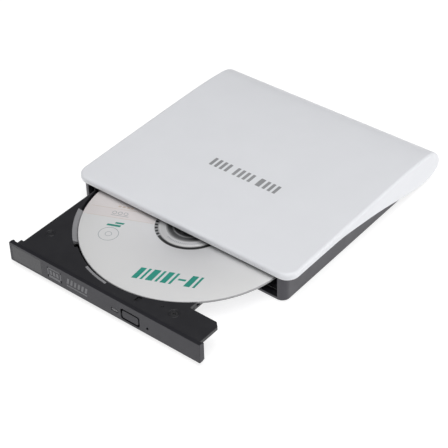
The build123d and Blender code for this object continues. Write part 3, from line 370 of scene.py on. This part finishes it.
def makeDisc(values):
    outer = discHigh.x - discCentre[0]
    hole, small = values["hole"], values["holeEdge"]
    edge, depth = values["edge"], values["grooveDepth"]
    corner = 0.3 * edge
    inner, wide = values["groove"]
    profile = [
        (hole, discBase + small), (hole + small, discBase), (outer - edge, discBase),
        (outer - corner, discBase + corner), (outer, discBase + edge),
        (outer, discTop - edge), (outer - corner, discTop - corner), (outer - edge, discTop),
        (wide + depth, discTop), (wide, discTop - depth), (inner, discTop - depth),
        (inner - depth, discTop), (hole + small, discTop), (hole, discTop - small),
    ]
    builder = bmesh.new()
    turned(builder, profile, discCentre, values["steps"])
    disc = meshObject("printedDisc", builder)
    finishPiece(disc, "spindle", discMaterial(values), ["disc"], sharp=50)
    # the recorded side, below
    disc.data.materials.append(foilMaterial(values))
    for side in disc.data.polygons:
        if side.normal.z < -0.9:
            side.material_index = 1


def arithmetic(material, operation, a, b=None):
    # One step of arithmetic on sockets or plain numbers
    node = addNode(material, "ShaderNodeMath", operation=operation)
    for socket, value in zip(node.inputs, (a, b)):
        if value is None:
            continue
        if isinstance(value, (int, float)):
            socket.default_value = value
        else:
            link(material, value, socket)
    return node.outputs[0]


def steppedRamp(material, value, stops):
    ramp = addNode(material, "ShaderNodeValToRGB")
    ramp.color_ramp.elements.remove(ramp.color_ramp.elements[-1])
    ramp.color_ramp.elements[0].position = stops[0][0]
    ramp.color_ramp.elements[0].color = (*stops[0][1], 1)
    for place, colour in stops[1:]:
        ramp.color_ramp.elements.new(place).color = (*colour, 1)
    link(material, value, ramp.inputs["Fac"])
    return ramp.outputs["Color"]


def mixColour(material, factor, first, second):
    mix = addNode(material, "ShaderNodeMix", data_type="RGBA")
    for name, value in (("Factor", factor), ("A", first), ("B", second)):
        socket = mix.inputs[name] if name == "Factor" else [s for s in mix.inputs if s.name == name][2]
        if isinstance(value, (int, float)):
            socket.default_value = value
        elif isinstance(value, tuple):
            socket.default_value = (*value, 1.0)
        else:
            link(material, value, socket)
    return [s for s in mix.outputs if s.type == "RGBA"][0]


def discPoints(material, turn=0.0):
    # Points measured from the disc's centre, turned with its print
    coordinates = addNode(material, "ShaderNodeTexCoord")
    mapping = addNode(material, "ShaderNodeMapping", vector_type="TEXTURE")
    mapping.inputs["Location"].default_value = (*discCentre, 0)
    mapping.inputs["Rotation"].default_value = (0, 0, radians(turn))
    link(material, coordinates.outputs["Object"], mapping.inputs["Vector"])
    return mapping.outputs["Vector"]


ringShades = [
    # radius in millimetres and the tone from there outwards
    (0.0, 0.03), (8.2, 0.05), (9.4, 0.24), (10.2, 0.05), (12.0, 0.09), (12.8, 0.26), (13.6, 0.50),
    # the last entry, from 59.8 mm out, darkens the rim: partly the disc's own clear edge, partly painted
    # shade from under it
    (16.6, 0.54), (17.2, 0.42), (17.9, 0.02), (19.5, 0.02), (19.7, 0.68), (59.4, 0.68), (59.8, 0.30),
]
ringRadius = 60   # where the ramp of tones ends, in millimetres


def discMaterial(values):
    # Printed label outside, dashed dark ring, pale clamping ring and a clear dark hub
    material = newMaterial("discPrint", (0.6, 0.6, 0.6), 0.34, coat=0.25, coatRoughness=0.15)

    def step(operation, a, b=None):
        return arithmetic(material, operation, a, b)

    parts = addNode(material, "ShaderNodeSeparateXYZ")
    link(material, discPoints(material, values["labelTurn"]), parts.inputs["Vector"])
    across, up = parts.outputs["X"], parts.outputs["Y"]
    radius = step("SQRT", step("ADD", step("MULTIPLY", across, across), step("MULTIPLY", up, up)))
    stops = []
    for index, (place, tone) in enumerate(ringShades):
        if index:
            before = ringShades[index - 1][1]
            stops.append((max(place - values["ringBlur"], 0) / ringRadius, (before, before, before)))
        stops.append((place / ringRadius, (tone, tone, tone * 1.02)))
    rings = steppedRamp(material, step("DIVIDE", radius, ringRadius * mm), stops)
    turn = step("ARCTAN2", up, across)

    def within(ring):
        low, high = ring
        return step("MULTIPLY", step("GREATER_THAN", radius, low), step("LESS_THAN", radius, high))

    def beat(count, gap):
        # On and off again, count times round
        return step("GREATER_THAN", step("FRACT", step("MULTIPLY", turn, count / (2 * pi))), gap)

    # the dark ring breaks into dashes on one side
    low, high = values["dashSides"]
    sides = step("MAXIMUM", step("LESS_THAN", turn, low), step("GREATER_THAN", turn, high))
    dashes = step("MULTIPLY", beat(values["dashes"], values["dashGap"]), within(values["dashRing"]))
    withDashes = mixColour(material, step("MULTIPLY", dashes, sides), rings, (0.50, 0.50, 0.51))
    # faint ticks round the pale ring
    high, low = values["tickSides"]
    sides = step("MULTIPLY", step("LESS_THAN", turn, high), step("GREATER_THAN", turn, low))
    ticks = step("MULTIPLY", beat(values["ticks"], values["tickGap"]), within(values["tickRing"]))
    withTicks = mixColour(material, step("MULTIPLY", ticks, sides), withDashes, (0.28, 0.29, 0.32))
    # warm tint of the label's upper left, over faint mottling of the print
    right, under, inner = values["warmCorner"]
    warm = step("MULTIPLY", step("GREATER_THAN", up, under),
                step("MULTIPLY", step("GREATER_THAN", radius, inner), step("LESS_THAN", across, right)))
    tinted = mixColour(material, step("MULTIPLY", warm, values["warmth"]), withTicks, (0.70, 0.645, 0.64))
    mottling = spread(material, noise(material, 0.012, 4.0), 0.0, 0.05)
    mottled = mixColour(material, mottling, tinted, (0.52, 0.54, 0.57))
    link(material, mottled, shaderOf(material).inputs["Base Color"])
    varyRoughness(material, 0.004, 0.28, 0.42)
    return material


def foilMaterial(values):
    # Mirror-like recorded side with fine circular tracks and a faint colour play
    material = newMaterial("discFoil", (0.42, 0.40, 0.50), 0.12, metallic=0.9, coat=0.6, coatRoughness=0.05)
    tracks = addNode(material, "ShaderNodeTexWave", wave_type="RINGS", rings_direction="Z")
    tracks.inputs["Scale"].default_value = values["foilTracks"]
    tracks.inputs["Distortion"].default_value = 0
    link(material, discPoints(material), tracks.inputs["Vector"])
    colour = steppedRamp(material, tracks.outputs["Fac"], [
        (0.0, (0.36, 0.33, 0.50)), (0.5, (0.45, 0.44, 0.52)), (1.0, (0.38, 0.42, 0.50)),
    ])
    link(material, colour, shaderOf(material).inputs["Base Color"])
    return material


makeDisc(discValues)

printValues = dict(
    thick=0.02 * mm,      # ink above the label
    slant=0.32,
    barBase=-47.2,        # row of slanted bars: baseline, height, then starts and widths along the print
    barHeight=8.8,
    bars=[
        (-18.0, 3.0), (-13.6, 1.3), (-10.8, 3.6), (-5.8, 1.3),
        (-3.0, 3.0), (1.4, 1.3), (9.4, 3.2), (14.0, 1.3),
    ],
    dash=(4.2, 4.0, 0.42, 0.58),         # start, width, and where it lies in the bars' height
    ring=(-40.5, -17.0, 5.2),            # place and radius, then its line and the small ring inside
    ringLine=0.28,
    innerRing=(1.6, 0.25),
    ringBars=[(-3.6, 7.6, 1.4, 1.5), (0.4, 4.8, 3.8, 1.3)],   # over the ring: start, width, rise, height
    smallRings=[-44.4, -41.2, -38.0],
    smallRing=(1.2, 0.9, 0.95, 0.3),     # offset, height, radius and line
    greyLine=(-44.6, 9.8, -1.4, 0.3),
    lines=[(4.1, -57.4, -20.6), (-3.4, -57.8, -20.6)],        # warm lines: level, start, end
    lineWidth=0.2,
    warmDashes=[-43, -40.6, -38.2, -35.8],
    warmDash=(1.5, 5.8, 1.2),            # width, level, height
)


def onLabel(across, up):
    # Point of the print in metres, from its own turned frame in millimetres
    turn = radians(discValues["labelTurn"])
    return (
        discCentre[0] + (across * cos(turn) - up * sin(turn)) * mm,
        discCentre[1] + (across * sin(turn) + up * cos(turn)) * mm,
    )


def inkBar(builder, start, width, base, height, lean, thick):
    shift = lean * height
    top = base + height
    corners = [(start, base), (start + width, base), (start + width + shift, top), (start + shift, top)]
    prism(builder, [onLabel(*corner) for corner in corners], discTop, discTop + thick)


def inkRing(builder, across, up, radius, width, thick, steps=64):
    low, high = discTop, discTop + thick
    inner, outer = radius * mm, (radius + width) * mm
    turned(builder, [(inner, low), (outer, low), (outer, high), (inner, high)], onLabel(across, up), steps)


def ink(name, colour):
    return mouldedPlastic(name, colour, 0.35, grain=0.001, depth=0.000001)


def makePrint(values):
    thick, lean = values["thick"], values["slant"]
    base, height = values["barBase"], values["barHeight"]
    green = ink("greenInk", (0.03, 0.27, 0.21))
    grey = ink("greyInk", (0.30, 0.34, 0.36))
    warm = ink("warmInk", (0.58, 0.49, 0.42))
    # row of plain slanted bars
    builder = bmesh.new()
    for start, width in values["bars"]:
        inkBar(builder, start, width, base, height, lean, thick)
    start, width, low, high = values["dash"]
    rise = low * height
    inkBar(builder, start + rise * lean, width, base + rise, (high - low) * height, lean, thick)
    # two short bars over the thin ring
    across, up, radius = values["ring"]
    for start, width, rise, tall in values["ringBars"]:
        inkBar(builder, across + start, width, up + radius + rise, tall, lean, thick)
    finishPiece(meshObject("greenBars", builder), "spindle", green)
    builder = bmesh.new()
    inkRing(builder, across, up, radius, values["ringLine"], thick)
    inkRing(builder, across, up, *values["innerRing"], thick, 32)
    offset, *ring = values["smallRing"]
    for start in values["smallRings"]:
        inkRing(builder, start + offset, *ring, thick, 32)
    inkBar(builder, *values["greyLine"], lean, thick)
    finishPiece(meshObject("greyRings", builder), "spindle", grey)
    # two fine warm lines and a short row of pale dashes
    builder = bmesh.new()
    for level, start, end in values["lines"]:
        inkBar(builder, start, end - start, level, values["lineWidth"], 0, thick)
    for start in values["warmDashes"]:
        inkBar(builder, start, *values["warmDash"], lean, thick)
    finishPiece(meshObject("warmLines", builder), "spindle", warm)


makePrint(printValues)
print("disc made")

# Bezel

bezelLow, bezelHigh = (Vector(corner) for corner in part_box("bezel"))
markProud = 0.04 * mm                    # raised marks stand this far out of the face
bezelFront = bezelLow.y + markProud
pipeLow, pipeHigh = (Vector(corner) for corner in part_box("light_pipe"))

bezelValues = dict(
    plate=2.4 * mm,          # thickness of the face
    corner=0.5 * mm,
    returnWidth=1.2 * mm,    # wall that turns back at each end
    returnDrop=0.6 * mm,     # it stays this far inside the upper and lower edges
    buttonGap=0.9 * mm,
    pipeGap=0.3 * mm,
    buttonMiddle=(19.5 * mm, 4.85 * mm),   # right of the middle, above the bezel's lower edge
    buttonSize=(10.6 * mm, 4.9 * mm),
    buttonCorner=1.3 * mm,
    pinhole=(30.75 * mm, 3.97 * mm, 0.7 * mm),
    edge=0.15 * mm,
)


def upright(builder, centre, size, back, front, corner, segments=4):
    # A rounded block that faces the front, for openings and buttons
    (x, z), (width, height) = centre, size
    made = block(builder, (x - width / 2, front, z - height / 2), (x + width / 2, back, z + height / 2))
    bevelEdges(builder, edgesAlong(made, 1), corner, segments)


def makeBezel(values):
    face = bezelFront
    builder = bmesh.new()
    made = block(builder, (bezelLow.x, face, bezelLow.z), (bezelHigh.x, face + values["plate"], bezelHigh.z))
    bevelEdges(builder, edgesAlong(made, 1), values["corner"], 3)
    bezel = meshObject("bezelFace", builder)
    drop = values["returnDrop"]
    for side, edge in ((1, bezelLow.x), (-1, bezelHigh.x)):
        builder = bmesh.new()
        ends = sorted((edge, edge + side * values["returnWidth"]))
        low = (ends[0], face + 1 * mm, bezelLow.z + drop)
        block(builder, low, (ends[1], bezelHigh.y, bezelHigh.z - drop))
        combine(bezel, builder, "UNION")
    x, rise = values["buttonMiddle"]
    width, height = values["buttonSize"]
    gap = 2 * values["buttonGap"]
    back, front = face + 4 * mm, face - 1 * mm
    builder = bmesh.new()
    opening = (width + gap, height + gap)
    upright(builder, (x, bezelLow.z + rise), opening, back, front, values["buttonCorner"])
    combine(bezel, builder)
    builder = bmesh.new()
    pipe = ((pipeLow.x + pipeHigh.x) / 2, (pipeLow.z + pipeHigh.z) / 2)
    gap = 2 * values["pipeGap"]
    opening = (pipeHigh.x - pipeLow.x + gap, pipeHigh.z - pipeLow.z + gap)
    upright(builder, pipe, opening, back, front, 0.4 * mm)
    combine(bezel, builder)
    x, rise, radius = values["pinhole"]
    builder = bmesh.new()
    made = disk(builder, (0, 0), radius, -1 * mm, 4 * mm, 24)
    bmesh.ops.rotate(builder, verts=made, cent=(0, 0, 0), matrix=Matrix.Rotation(radians(-90), 3, "X"))
    bmesh.ops.translate(builder, verts=made, vec=(x, face, bezelLow.z + rise))
    combine(bezel, builder)
    finishPiece(bezel, "tray", finishes["bezel_plastic"], ["bezel"], edge=values["edge"])


makeBezel(bezelValues)

markValues = dict(
    # millimetres on the bezel, from its middle and lower edge
    frame=(-36.7, 2.7, -27.2, 9.2),      # framed plate: left, bottom, right, top
    frameRim=0.7,
    frameFoot=1.6,                       # its lower rim
    frameBars=(3, 1.6, 2.3, 1.5),        # count, first, spacing, width
    strokes=[-23.4, -20.9, -18.4, -15.9, -13.4, -10.9],
    stroke=(5.0, 1.4, 8.7, 0.25),        # bottom, width, top, lean
    underline=(3.2, -9.3, 4.0),          # bottom, right end, top
    patch=(-62.0, 1.4, -41.3, 10.6),
)


def makeMarks(values):
    # Plain raised shapes in place of printed badges
    face, low, proud = bezelFront, bezelLow.z, markProud

    def raised(builder, left, bottom, right, top, lean=0.0):
        corner = (left * mm, face - proud, low + bottom * mm)
        made = block(builder, corner, (right * mm, face + proud, low + top * mm))
        for vert in made:
            vert.co.x += lean * (vert.co.z - low - bottom * mm)

    builder = bmesh.new()
    left, bottom, right, top = values["frame"]
    rim = values["frameRim"]
    raised(builder, left, bottom, right, bottom + values["frameFoot"])
    raised(builder, left, top - rim, right, top)
    raised(builder, left, bottom, left + rim, top)
    raised(builder, right - rim, bottom, right, top)
    count, first, spacing, width = values["frameBars"]
    for step in range(count):
        start = left + first + spacing * step
        raised(builder, start, bottom + 2.3, start + width, top - 1.5)
    foot, width, head, lean = values["stroke"]
    for start in values["strokes"]:
        raised(builder, start, foot, start + width, head, lean)
    raised(builder, values["strokes"][0], *values["underline"])
    marks = meshObject("bezelMarks", builder)
    pale = mouldedPlastic("paleInk", (0.13, 0.13, 0.14), 0.4, grain=0.0004, depth=0.000001)
    finishPiece(marks, "tray", pale)
    builder = bmesh.new()
    left, bottom, right, top = values["patch"]
    upright(builder, ((left + right) / 2 * mm, low + (bottom + top) / 2 * mm),
            ((right - left) * mm, (top - bottom) * mm), face + proud, face - proud / 2, 0.5 * mm)
    patch = meshObject("bezelPatch", builder)
    glossy = mouldedPlastic("glossyPatch", (0.036, 0.036, 0.040), 0.22, grain=0.001, depth=0.000001)
    finishPiece(patch, "tray", glossy)


makeMarks(markValues)
print("bezel made")

# Tray

trayLow, trayHigh = (Vector(corner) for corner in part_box("tray"))

trayValues = dict(
    slab=2.0 * mm,           # thickness of the top
    wall=2.0 * mm,
    left=-58.6 * mm,
    right=43.1 * mm,
    earDepth=5.6 * mm,
    flapDepth=18.4 * mm,
    flapChamfer=2.5 * mm,
    recessGap=1.2 * mm,      # round the disc
    cupWall=1.2 * mm,
    recessDrop=3.0 * mm,     # floor below the top
    floorThickness=1.2 * mm,
    sideWallStart=46.0 * mm,
    # guiding ramps: first and last angle, inner and outer radius, flat top, spare length of the seat
    ramps=[(-155.5, -130.5, 60.2, 62.8, 0.5, 5.0), (-109.8, -94.2, 60.8, 63.0, 1.4, 0.0)],
    notch=((17.2, 6.0), (19.8, 9.6), 1.4),   # corners behind the bezel's face, and depth
    screwSeat=[(2.05, 0.95), (1.1, 4.0)],    # radius and depth
    dimple=((-51.9, 18.6), 1.6, 0.4),        # place, radius, depth
    dot=((31.9, 10.8), 0.7, 0.5),
    screwRing=2.6 * mm,
    dimpleRing=2.2 * mm,
    edge=0.1 * mm,
)


def throughFrame(grow):
    # Outline of the opening for the sled and motor, on the diagonal line
    side, outer, inner = 21.0 * mm + grow, 66.0 * mm + grow, -17.0 * mm - grow
    cut = 10.0 * mm
    turn = radians(225)
    corners = [(inner, -side), (outer - cut, -side), (outer, -side + cut),
               (outer, side - cut), (outer - cut, side), (inner, side)]
    x, y = discCentre
    return [(x + a * cos(turn) - b * sin(turn), y + a * sin(turn) + b * cos(turn)) for a, b in corners]


def trim(builder, point, way):
    # Cuts away what lies past a plane and closes the cut
    cut = bmesh.ops.bisect_plane(
        builder, geom=builder.verts[:] + builder.edges[:] + builder.faces[:],
        plane_co=point, plane_no=way, clear_outer=True,
    )
    rim = [item for item in cut["geom_cut"] if isinstance(item, bmesh.types.BMEdge)]
    bmesh.ops.holes_fill(builder, edges=rim, sides=0)


def makeTray(values):
    front, rear, top = trayLow.y, trayHigh.y, trayHigh.z
    left, right, under = values["left"], values["right"], trayLow.z
    slab = top - values["slab"]
    outer = discHigh.x - discCentre[0] + values["recessGap"]
    floorTop = top - values["recessDrop"]
    floorUnder = floorTop - values["floorThickness"]
    builder = bmesh.new()
    flap, chamfer = trayHigh.x, values["flapChamfer"]
    flapBack, earBack = bezelLow.y + values["flapDepth"], bezelLow.y + values["earDepth"]
    prism(builder, [
        (trayLow.x, front), (flap, front), (flap, flapBack - chamfer), (flap - chamfer, flapBack),
        (right, flapBack), (right, rear), (left, rear), (left, earBack), (trayLow.x, earBack),
    ], slab, top)
    tray = meshObject("mouldedTray", builder)
    # cup under the recess, trimmed to the tray's sides
    builder = bmesh.new()
    overlap, inset = 0.5 * mm, 0.05 * mm
    disk(builder, discCentre, outer + values["cupWall"], floorUnder, slab + overlap, 180)
    trim(builder, (left + inset, 0, 0), (-1, 0, 0))
    trim(builder, (right - inset, 0, 0), (1, 0, 0))
    trim(builder, (0, rear - inset, 0), (0, 1, 0))
    combine(tray, builder, "UNION")
    # walls below the slab
    wall, start = values["wall"], values["sideWallStart"]
    hair, into = 0.02 * mm, slab + overlap
    for low, high in (
        ((left, front, under), (left + wall, rear - hair, into)),
        ((left + hair, front + hair, under), (right, front + wall, into)),
        ((right - wall, bezelLow.y + start, under), (right - hair, rear - hair, into)),
    ):
        builder = bmesh.new()
        block(builder, low, high)
        combine(tray, builder, "UNION")
    # recess, and the opening in its floor
    builder = bmesh.new()
    disk(builder, discCentre, outer, floorTop, top + 1 * mm, 180)
    combine(tray, builder)
    builder = bmesh.new()
    prism(builder, throughFrame(0.8 * mm), under - 1 * mm, floorTop + 1 * mm)
    combine(tray, builder)
    # seats for the two guiding ramps
    seat, above = floorTop + 0.2 * mm, top + 1 * mm
    for begin, finish, inner, wide, flat, spare in values["ramps"]:
        near, far = inner * mm - 1 * mm, wide * mm
        builder = bmesh.new()
        profile = [(near, seat), (far, seat), (far, above), (near, above)]
        turned(builder, profile, discCentre, 16, begin, finish + spare)
        combine(tray, builder)
    # openings of the front wall, and the notch by the rim
    x, rise = bezelValues["buttonMiddle"]
    width, height = bezelValues["buttonSize"]
    wide, tall, gap = width / 2 + 1.2 * mm, height / 2 + 0.7 * mm, 0.4 * mm
    before, behind = front - 1 * mm, front + wall + 1 * mm
    (notchLeft, notchFront), (notchRight, notchBack), notchDepth = values["notch"]
    for low, high in (
        ((x - wide, before, bezelLow.z + rise - tall), (x + wide, behind, bezelLow.z + rise + tall)),
        ((pipeLow.x - gap, before, pipeLow.z - gap), (pipeHigh.x + gap, behind, pipeHigh.z + gap)),
        ((notchLeft * mm, bezelLow.y + notchFront * mm, top - notchDepth * mm),
         (notchRight * mm, bezelLow.y + notchBack * mm, above)),
    ):
        builder = bmesh.new()
        block(builder, low, high)
        combine(tray, builder)
    # seat of the screw, dimple and dot
    screwLow, screwHigh = (Vector(corner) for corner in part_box("tray_screw"))
    screw = ((screwLow.x + screwHigh.x) / 2, (screwLow.y + screwHigh.y) / 2)
    holes = [(screw, radius, depth) for radius, depth in values["screwSeat"]]
    for (x, y), radius, depth in (values["dimple"], values["dot"]):
        holes.append(((x * mm, bezelLow.y + y * mm), radius, depth))
    for centre, radius, depth in holes:
        builder = bmesh.new()
        disk(builder, centre, radius * mm, top - depth * mm, above, 48)
        combine(tray, builder)
    # shallow groove round the screw and round the dimple
    low, high = top - 0.1 * mm, top + 0.08 * mm
    for centre, radius in ((screw, values["screwRing"]), (holes[2][0], values["dimpleRing"])):
        outside = radius + 0.5 * mm
        builder = bmesh.new()
        turned(builder, [(radius, low), (outside, low), (outside, high), (radius, high)], centre, 48)
        combine(tray, builder)
    finishPiece(tray, "tray", finishes["tray_plastic"], ["tray"], edge=values["edge"])
    # the ramps themselves, sloping in towards the disc
    builder = bmesh.new()
    for begin, finish, inner, wide, flat, spare in values["ramps"]:
        crest = top - 0.1 * mm
        turned(builder, [
            (inner * mm, seat), (wide * mm, seat), (wide * mm, crest),
            ((wide - flat) * mm, crest), (inner * mm, floorTop + 1.5 * mm),
        ], discCentre, 16, begin, finish)
    ramps = meshObject("discRamps", builder)
    finishPiece(ramps, "tray", finishes["grey_ramp"], ["edge_ramps"], edge=0.06 * mm)


makeTray(trayValues)
print("tray made")

# Cover print, feet, hub and lid tab

coverBarValues = dict(
    top=15.6, bottom=8.6,     # along y
    starts=[-19.0, -15.6, -12.2, -8.8, -3.2, 0.2, 3.6, 7.0, 12.6, 17.2, 20.6, 24.0],
    width=1.9,
    broad=(12.6, 1.6),        # one bar is this much wider
    corner=0.3 * mm,
    thick=0.03 * mm,
)


def makeCoverBars(values):
    # Groups of plain bars that lie on the curve of the cover
    cover = nodes["top_cover"]
    builder = bmesh.new()
    for start in values["starts"]:
        place, share = values["broad"]
        width = values["width"] * (share if start == place else 1)
        low = (start * mm, values["bottom"] * mm, 0)
        made = block(builder, low, ((start + width) * mm, values["top"] * mm, values["thick"]))
        bevelEdges(builder, edgesAlong(made, 2), values["corner"], 2)
    for vert in builder.verts:
        place = cover.ray_cast(Vector((vert.co.x, vert.co.y, 0.1)), Vector((0, 0, -1)))[1]
        vert.co.z += place.z - values["thick"] / 3
    bars = meshObject("coverBars", builder)
    finishPiece(bars, "case", ink("coverInk", (0.31, 0.315, 0.325)))


makeCoverBars(coverBarValues)


footValues = dict(
    radius=4.5 * mm,
    edge=0.45 * mm,           # slope of the outer edge
    dish=0.12 * mm,           # depth of the sole
    sole=(2.6 * mm, 2.9 * mm, 3.9 * mm, 4.3 * mm),
)
axis = 0.0001 * mm            # a turned profile starts this far from its axis


def makeFeet(values):
    # Four turned rubber feet with a shallow dish in the sole
    low, high = (Vector(corner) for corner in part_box("rubber_feet"))
    radius, height, dish = values["radius"], high.z - low.z, values["dish"]
    inner, rise, fall, outer = values["sole"]
    profile = [
        (axis, dish), (inner, dish), (rise, 0), (fall, 0), (outer, dish),
        (radius, values["edge"]), (radius, height), (axis, height),
    ]
    builder = bmesh.new()
    for x in (low.x + radius, high.x - radius):
        for y in (low.y + radius, high.y - radius):
            turned(builder, profile, (x, y), 40)
    feet = meshObject("rubberFeet", builder)
    finishPiece(feet, "case", finishes["foot_rubber"], ["rubber_feet"])


makeFeet(footValues)

hubValues = dict(
    steps=120,
    seatDrop=0.5 * mm,        # seat below the disc
    seatEdge=0.15 * mm,
    hub=7.4 * mm,             # radius of the raised centre
    hubEdge=[(0, 0.6 * mm), (0.25 * mm, 0.2 * mm), (0.7 * mm, 0)],   # inwards, and below the top
    dish=[(4.4 * mm, 0), (4.0 * mm, 0.4 * mm), (2.0 * mm, 0.4 * mm), (1.8 * mm, 0.1 * mm), (axis, 0.1 * mm)],
    slot=(4.4 * mm, 8.6 * mm, 1.2 * mm),      # inner end, outer end, half width
    edge=0.05 * mm,
)


def makeHub(values):
    # Turntable with its raised centre, a dished top and three slots for the claws
    low, high = (Vector(corner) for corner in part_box("turntable"))
    seat = discBase - values["seatDrop"]
    wide, soft, hub = high.x - discCentre[0], values["seatEdge"], values["hub"]
    profile = [(axis, low.z), (wide, low.z), (wide, seat - soft), (wide - soft, seat), (hub, seat)]
    profile += [(hub - inwards, high.z - below) for inwards, below in values["hubEdge"]]
    profile += [(radius, high.z - below) for radius, below in values["dish"]]
    builder = bmesh.new()
    turned(builder, profile, discCentre, values["steps"])
    turntable = meshObject("turntableHub", builder)
    inner, outer, half = values["slot"]
    for number in (1, 2, 3):
        lowClaw, highClaw = (Vector(corner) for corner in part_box(f"hub_claw_{number}"))
        middle = (lowClaw + highClaw) / 2
        way = atan2(middle.y - discCentre[1], middle.x - discCentre[0])
        builder = bmesh.new()
        made = block(builder, (inner, -half, lowClaw.z - 0.05 * mm), (outer, half, high.z + 1 * mm))
        bmesh.ops.rotate(builder, verts=made, cent=(0, 0, 0), matrix=Matrix.Rotation(way, 3, "Z"))
        bmesh.ops.translate(builder, verts=made, vec=(*discCentre, 0))
        combine(turntable, builder)
    finish = finishes["tray_plastic"]
    finishPiece(turntable, "spindle", finish, ["turntable"], edge=values["edge"])


makeHub(hubValues)

tabValues = dict(
    left=2.6 * mm,            # inside the lid's right edge
    right=0.4 * mm,
    reach=2.6 * mm,           # ahead of the lid
    thick=0.24 * mm,          # clears the shut bezel
    corner=0.4 * mm,
    edge=0.05 * mm,
)


def makeLidTab(values):
    # Bright corner tab of the drive's lid, just inside the mouth
    lidLow, lidHigh = (Vector(corner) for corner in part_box("chassis_lid"))
    low = (lidHigh.x - values["left"], lidLow.y - values["reach"], lidHigh.z - values["thick"])
    builder = bmesh.new()
    made = block(builder, low, (lidHigh.x - values["right"], lidLow.y + 1 * mm, lidHigh.z))
    bevelEdges(builder, edgesAlong(made, 2), values["corner"], 3)
    tab = meshObject("lidTab", builder)
    finishPiece(tab, "case", finishes["zinc_steel"], edge=values["edge"])


makeLidTab(tabValues)
print("cover print, feet, hub and tab made")

# Camera, light and floor

cameraValues = dict(
    azimuth=39.23, elevation=38.79, roll=-1.28, distance=0.7395, target=(0.0066, -0.0105, 0.0028), lens=110.1
)


def makeCamera(values):
    azimuth, elevation, roll = (radians(values[key]) for key in ("azimuth", "elevation", "roll"))
    ahead = Vector((-sin(azimuth) * cos(elevation), cos(azimuth) * cos(elevation), -sin(elevation)))
    right = Vector((cos(azimuth), sin(azimuth), 0))
    up = right.cross(ahead)
    turnedRight = right * cos(roll) + up * sin(roll)
    turnedUp = up * cos(roll) - right * sin(roll)
    camera = bpy.data.objects.new("mainCamera", bpy.data.cameras.new("mainCamera"))
    bpy.context.scene.collection.objects.link(camera)
    place = Matrix((turnedRight, turnedUp, -ahead)).transposed().to_4x4()
    place.translation = Vector(values["target"]) - ahead * values["distance"]
    camera.matrix_world = place
    camera.data.lens = values["lens"]
    camera.data.sensor_width = 36.0
    camera.data.clip_start = 0.01
    bpy.context.scene.camera = camera


floorValues = dict(size=4.0, colour=(0.35, 0.35, 0.35), roughness=0.8, glow=0.78)


def makeFloor(values):
    mesh = bpy.data.meshes.new("floor")
    builder = bmesh.new()
    bmesh.ops.create_grid(builder, x_segments=1, y_segments=1, size=values["size"])
    builder.to_mesh(mesh)
    builder.free()
    floor = bpy.data.objects.new("floor", mesh)
    bpy.context.scene.collection.objects.link(floor)
    material = newMaterial("floorPaper", values["colour"], values["roughness"], specular=0.0)
    shaderOf(material).inputs["Emission Color"].default_value = (1, 1, 1, 1)
    shaderOf(material).inputs["Emission Strength"].default_value = values["glow"]
    floor.data.materials.append(material)


lights = [
    # each faces the middle of the object
    dict(name="topLight", place=(0.25, -0.25, 1.3), size=1.3, power=17.5),
    dict(name="sideLight", place=(1.2, 0.5, 0.35), size=0.7, power=5.9),
    dict(name="frontLight", place=(-0.65, -1.2, 0.4), size=0.8, power=2.6),
]


def makeLight(values):
    data = bpy.data.lights.new(values["name"], "AREA")
    data.size = values["size"]
    data.energy = values["power"]
    light = bpy.data.objects.new(values["name"], data)
    bpy.context.scene.collection.objects.link(light)
    light.location = values["place"]
    light.rotation_euler = (-Vector(values["place"])).to_track_quat("-Z", "Y").to_euler()


worldValues = dict(fill=0.1, backdrop=1.0)


def makeWorld(values):
    # Weak fill light, and a white surround behind everything
    world = bpy.data.worlds.new("studio")
    world.use_nodes = True
    tree = world.node_tree
    surround = tree.nodes["Background"]
    surround.inputs["Color"].default_value = (1, 1, 1, 1)
    surround.inputs["Strength"].default_value = values["backdrop"]
    soft = tree.nodes.new("ShaderNodeBackground")
    soft.inputs["Color"].default_value = (1, 1, 1, 1)
    soft.inputs["Strength"].default_value = values["fill"]
    path = tree.nodes.new("ShaderNodeLightPath")
    mix = tree.nodes.new("ShaderNodeMixShader")
    tree.links.new(path.outputs["Is Camera Ray"], mix.inputs["Fac"])
    tree.links.new(soft.outputs["Background"], mix.inputs[1])
    tree.links.new(surround.outputs["Background"], mix.inputs[2])
    tree.links.new(mix.outputs["Shader"], tree.nodes["World Output"].inputs["Surface"])
    bpy.context.scene.world = world


makeCamera(cameraValues)
makeFloor(floorValues)
makeWorld(worldValues)
for values in lights:
    makeLight(values)
bpy.context.scene.view_settings.view_transform = "Standard"
print("stage set")
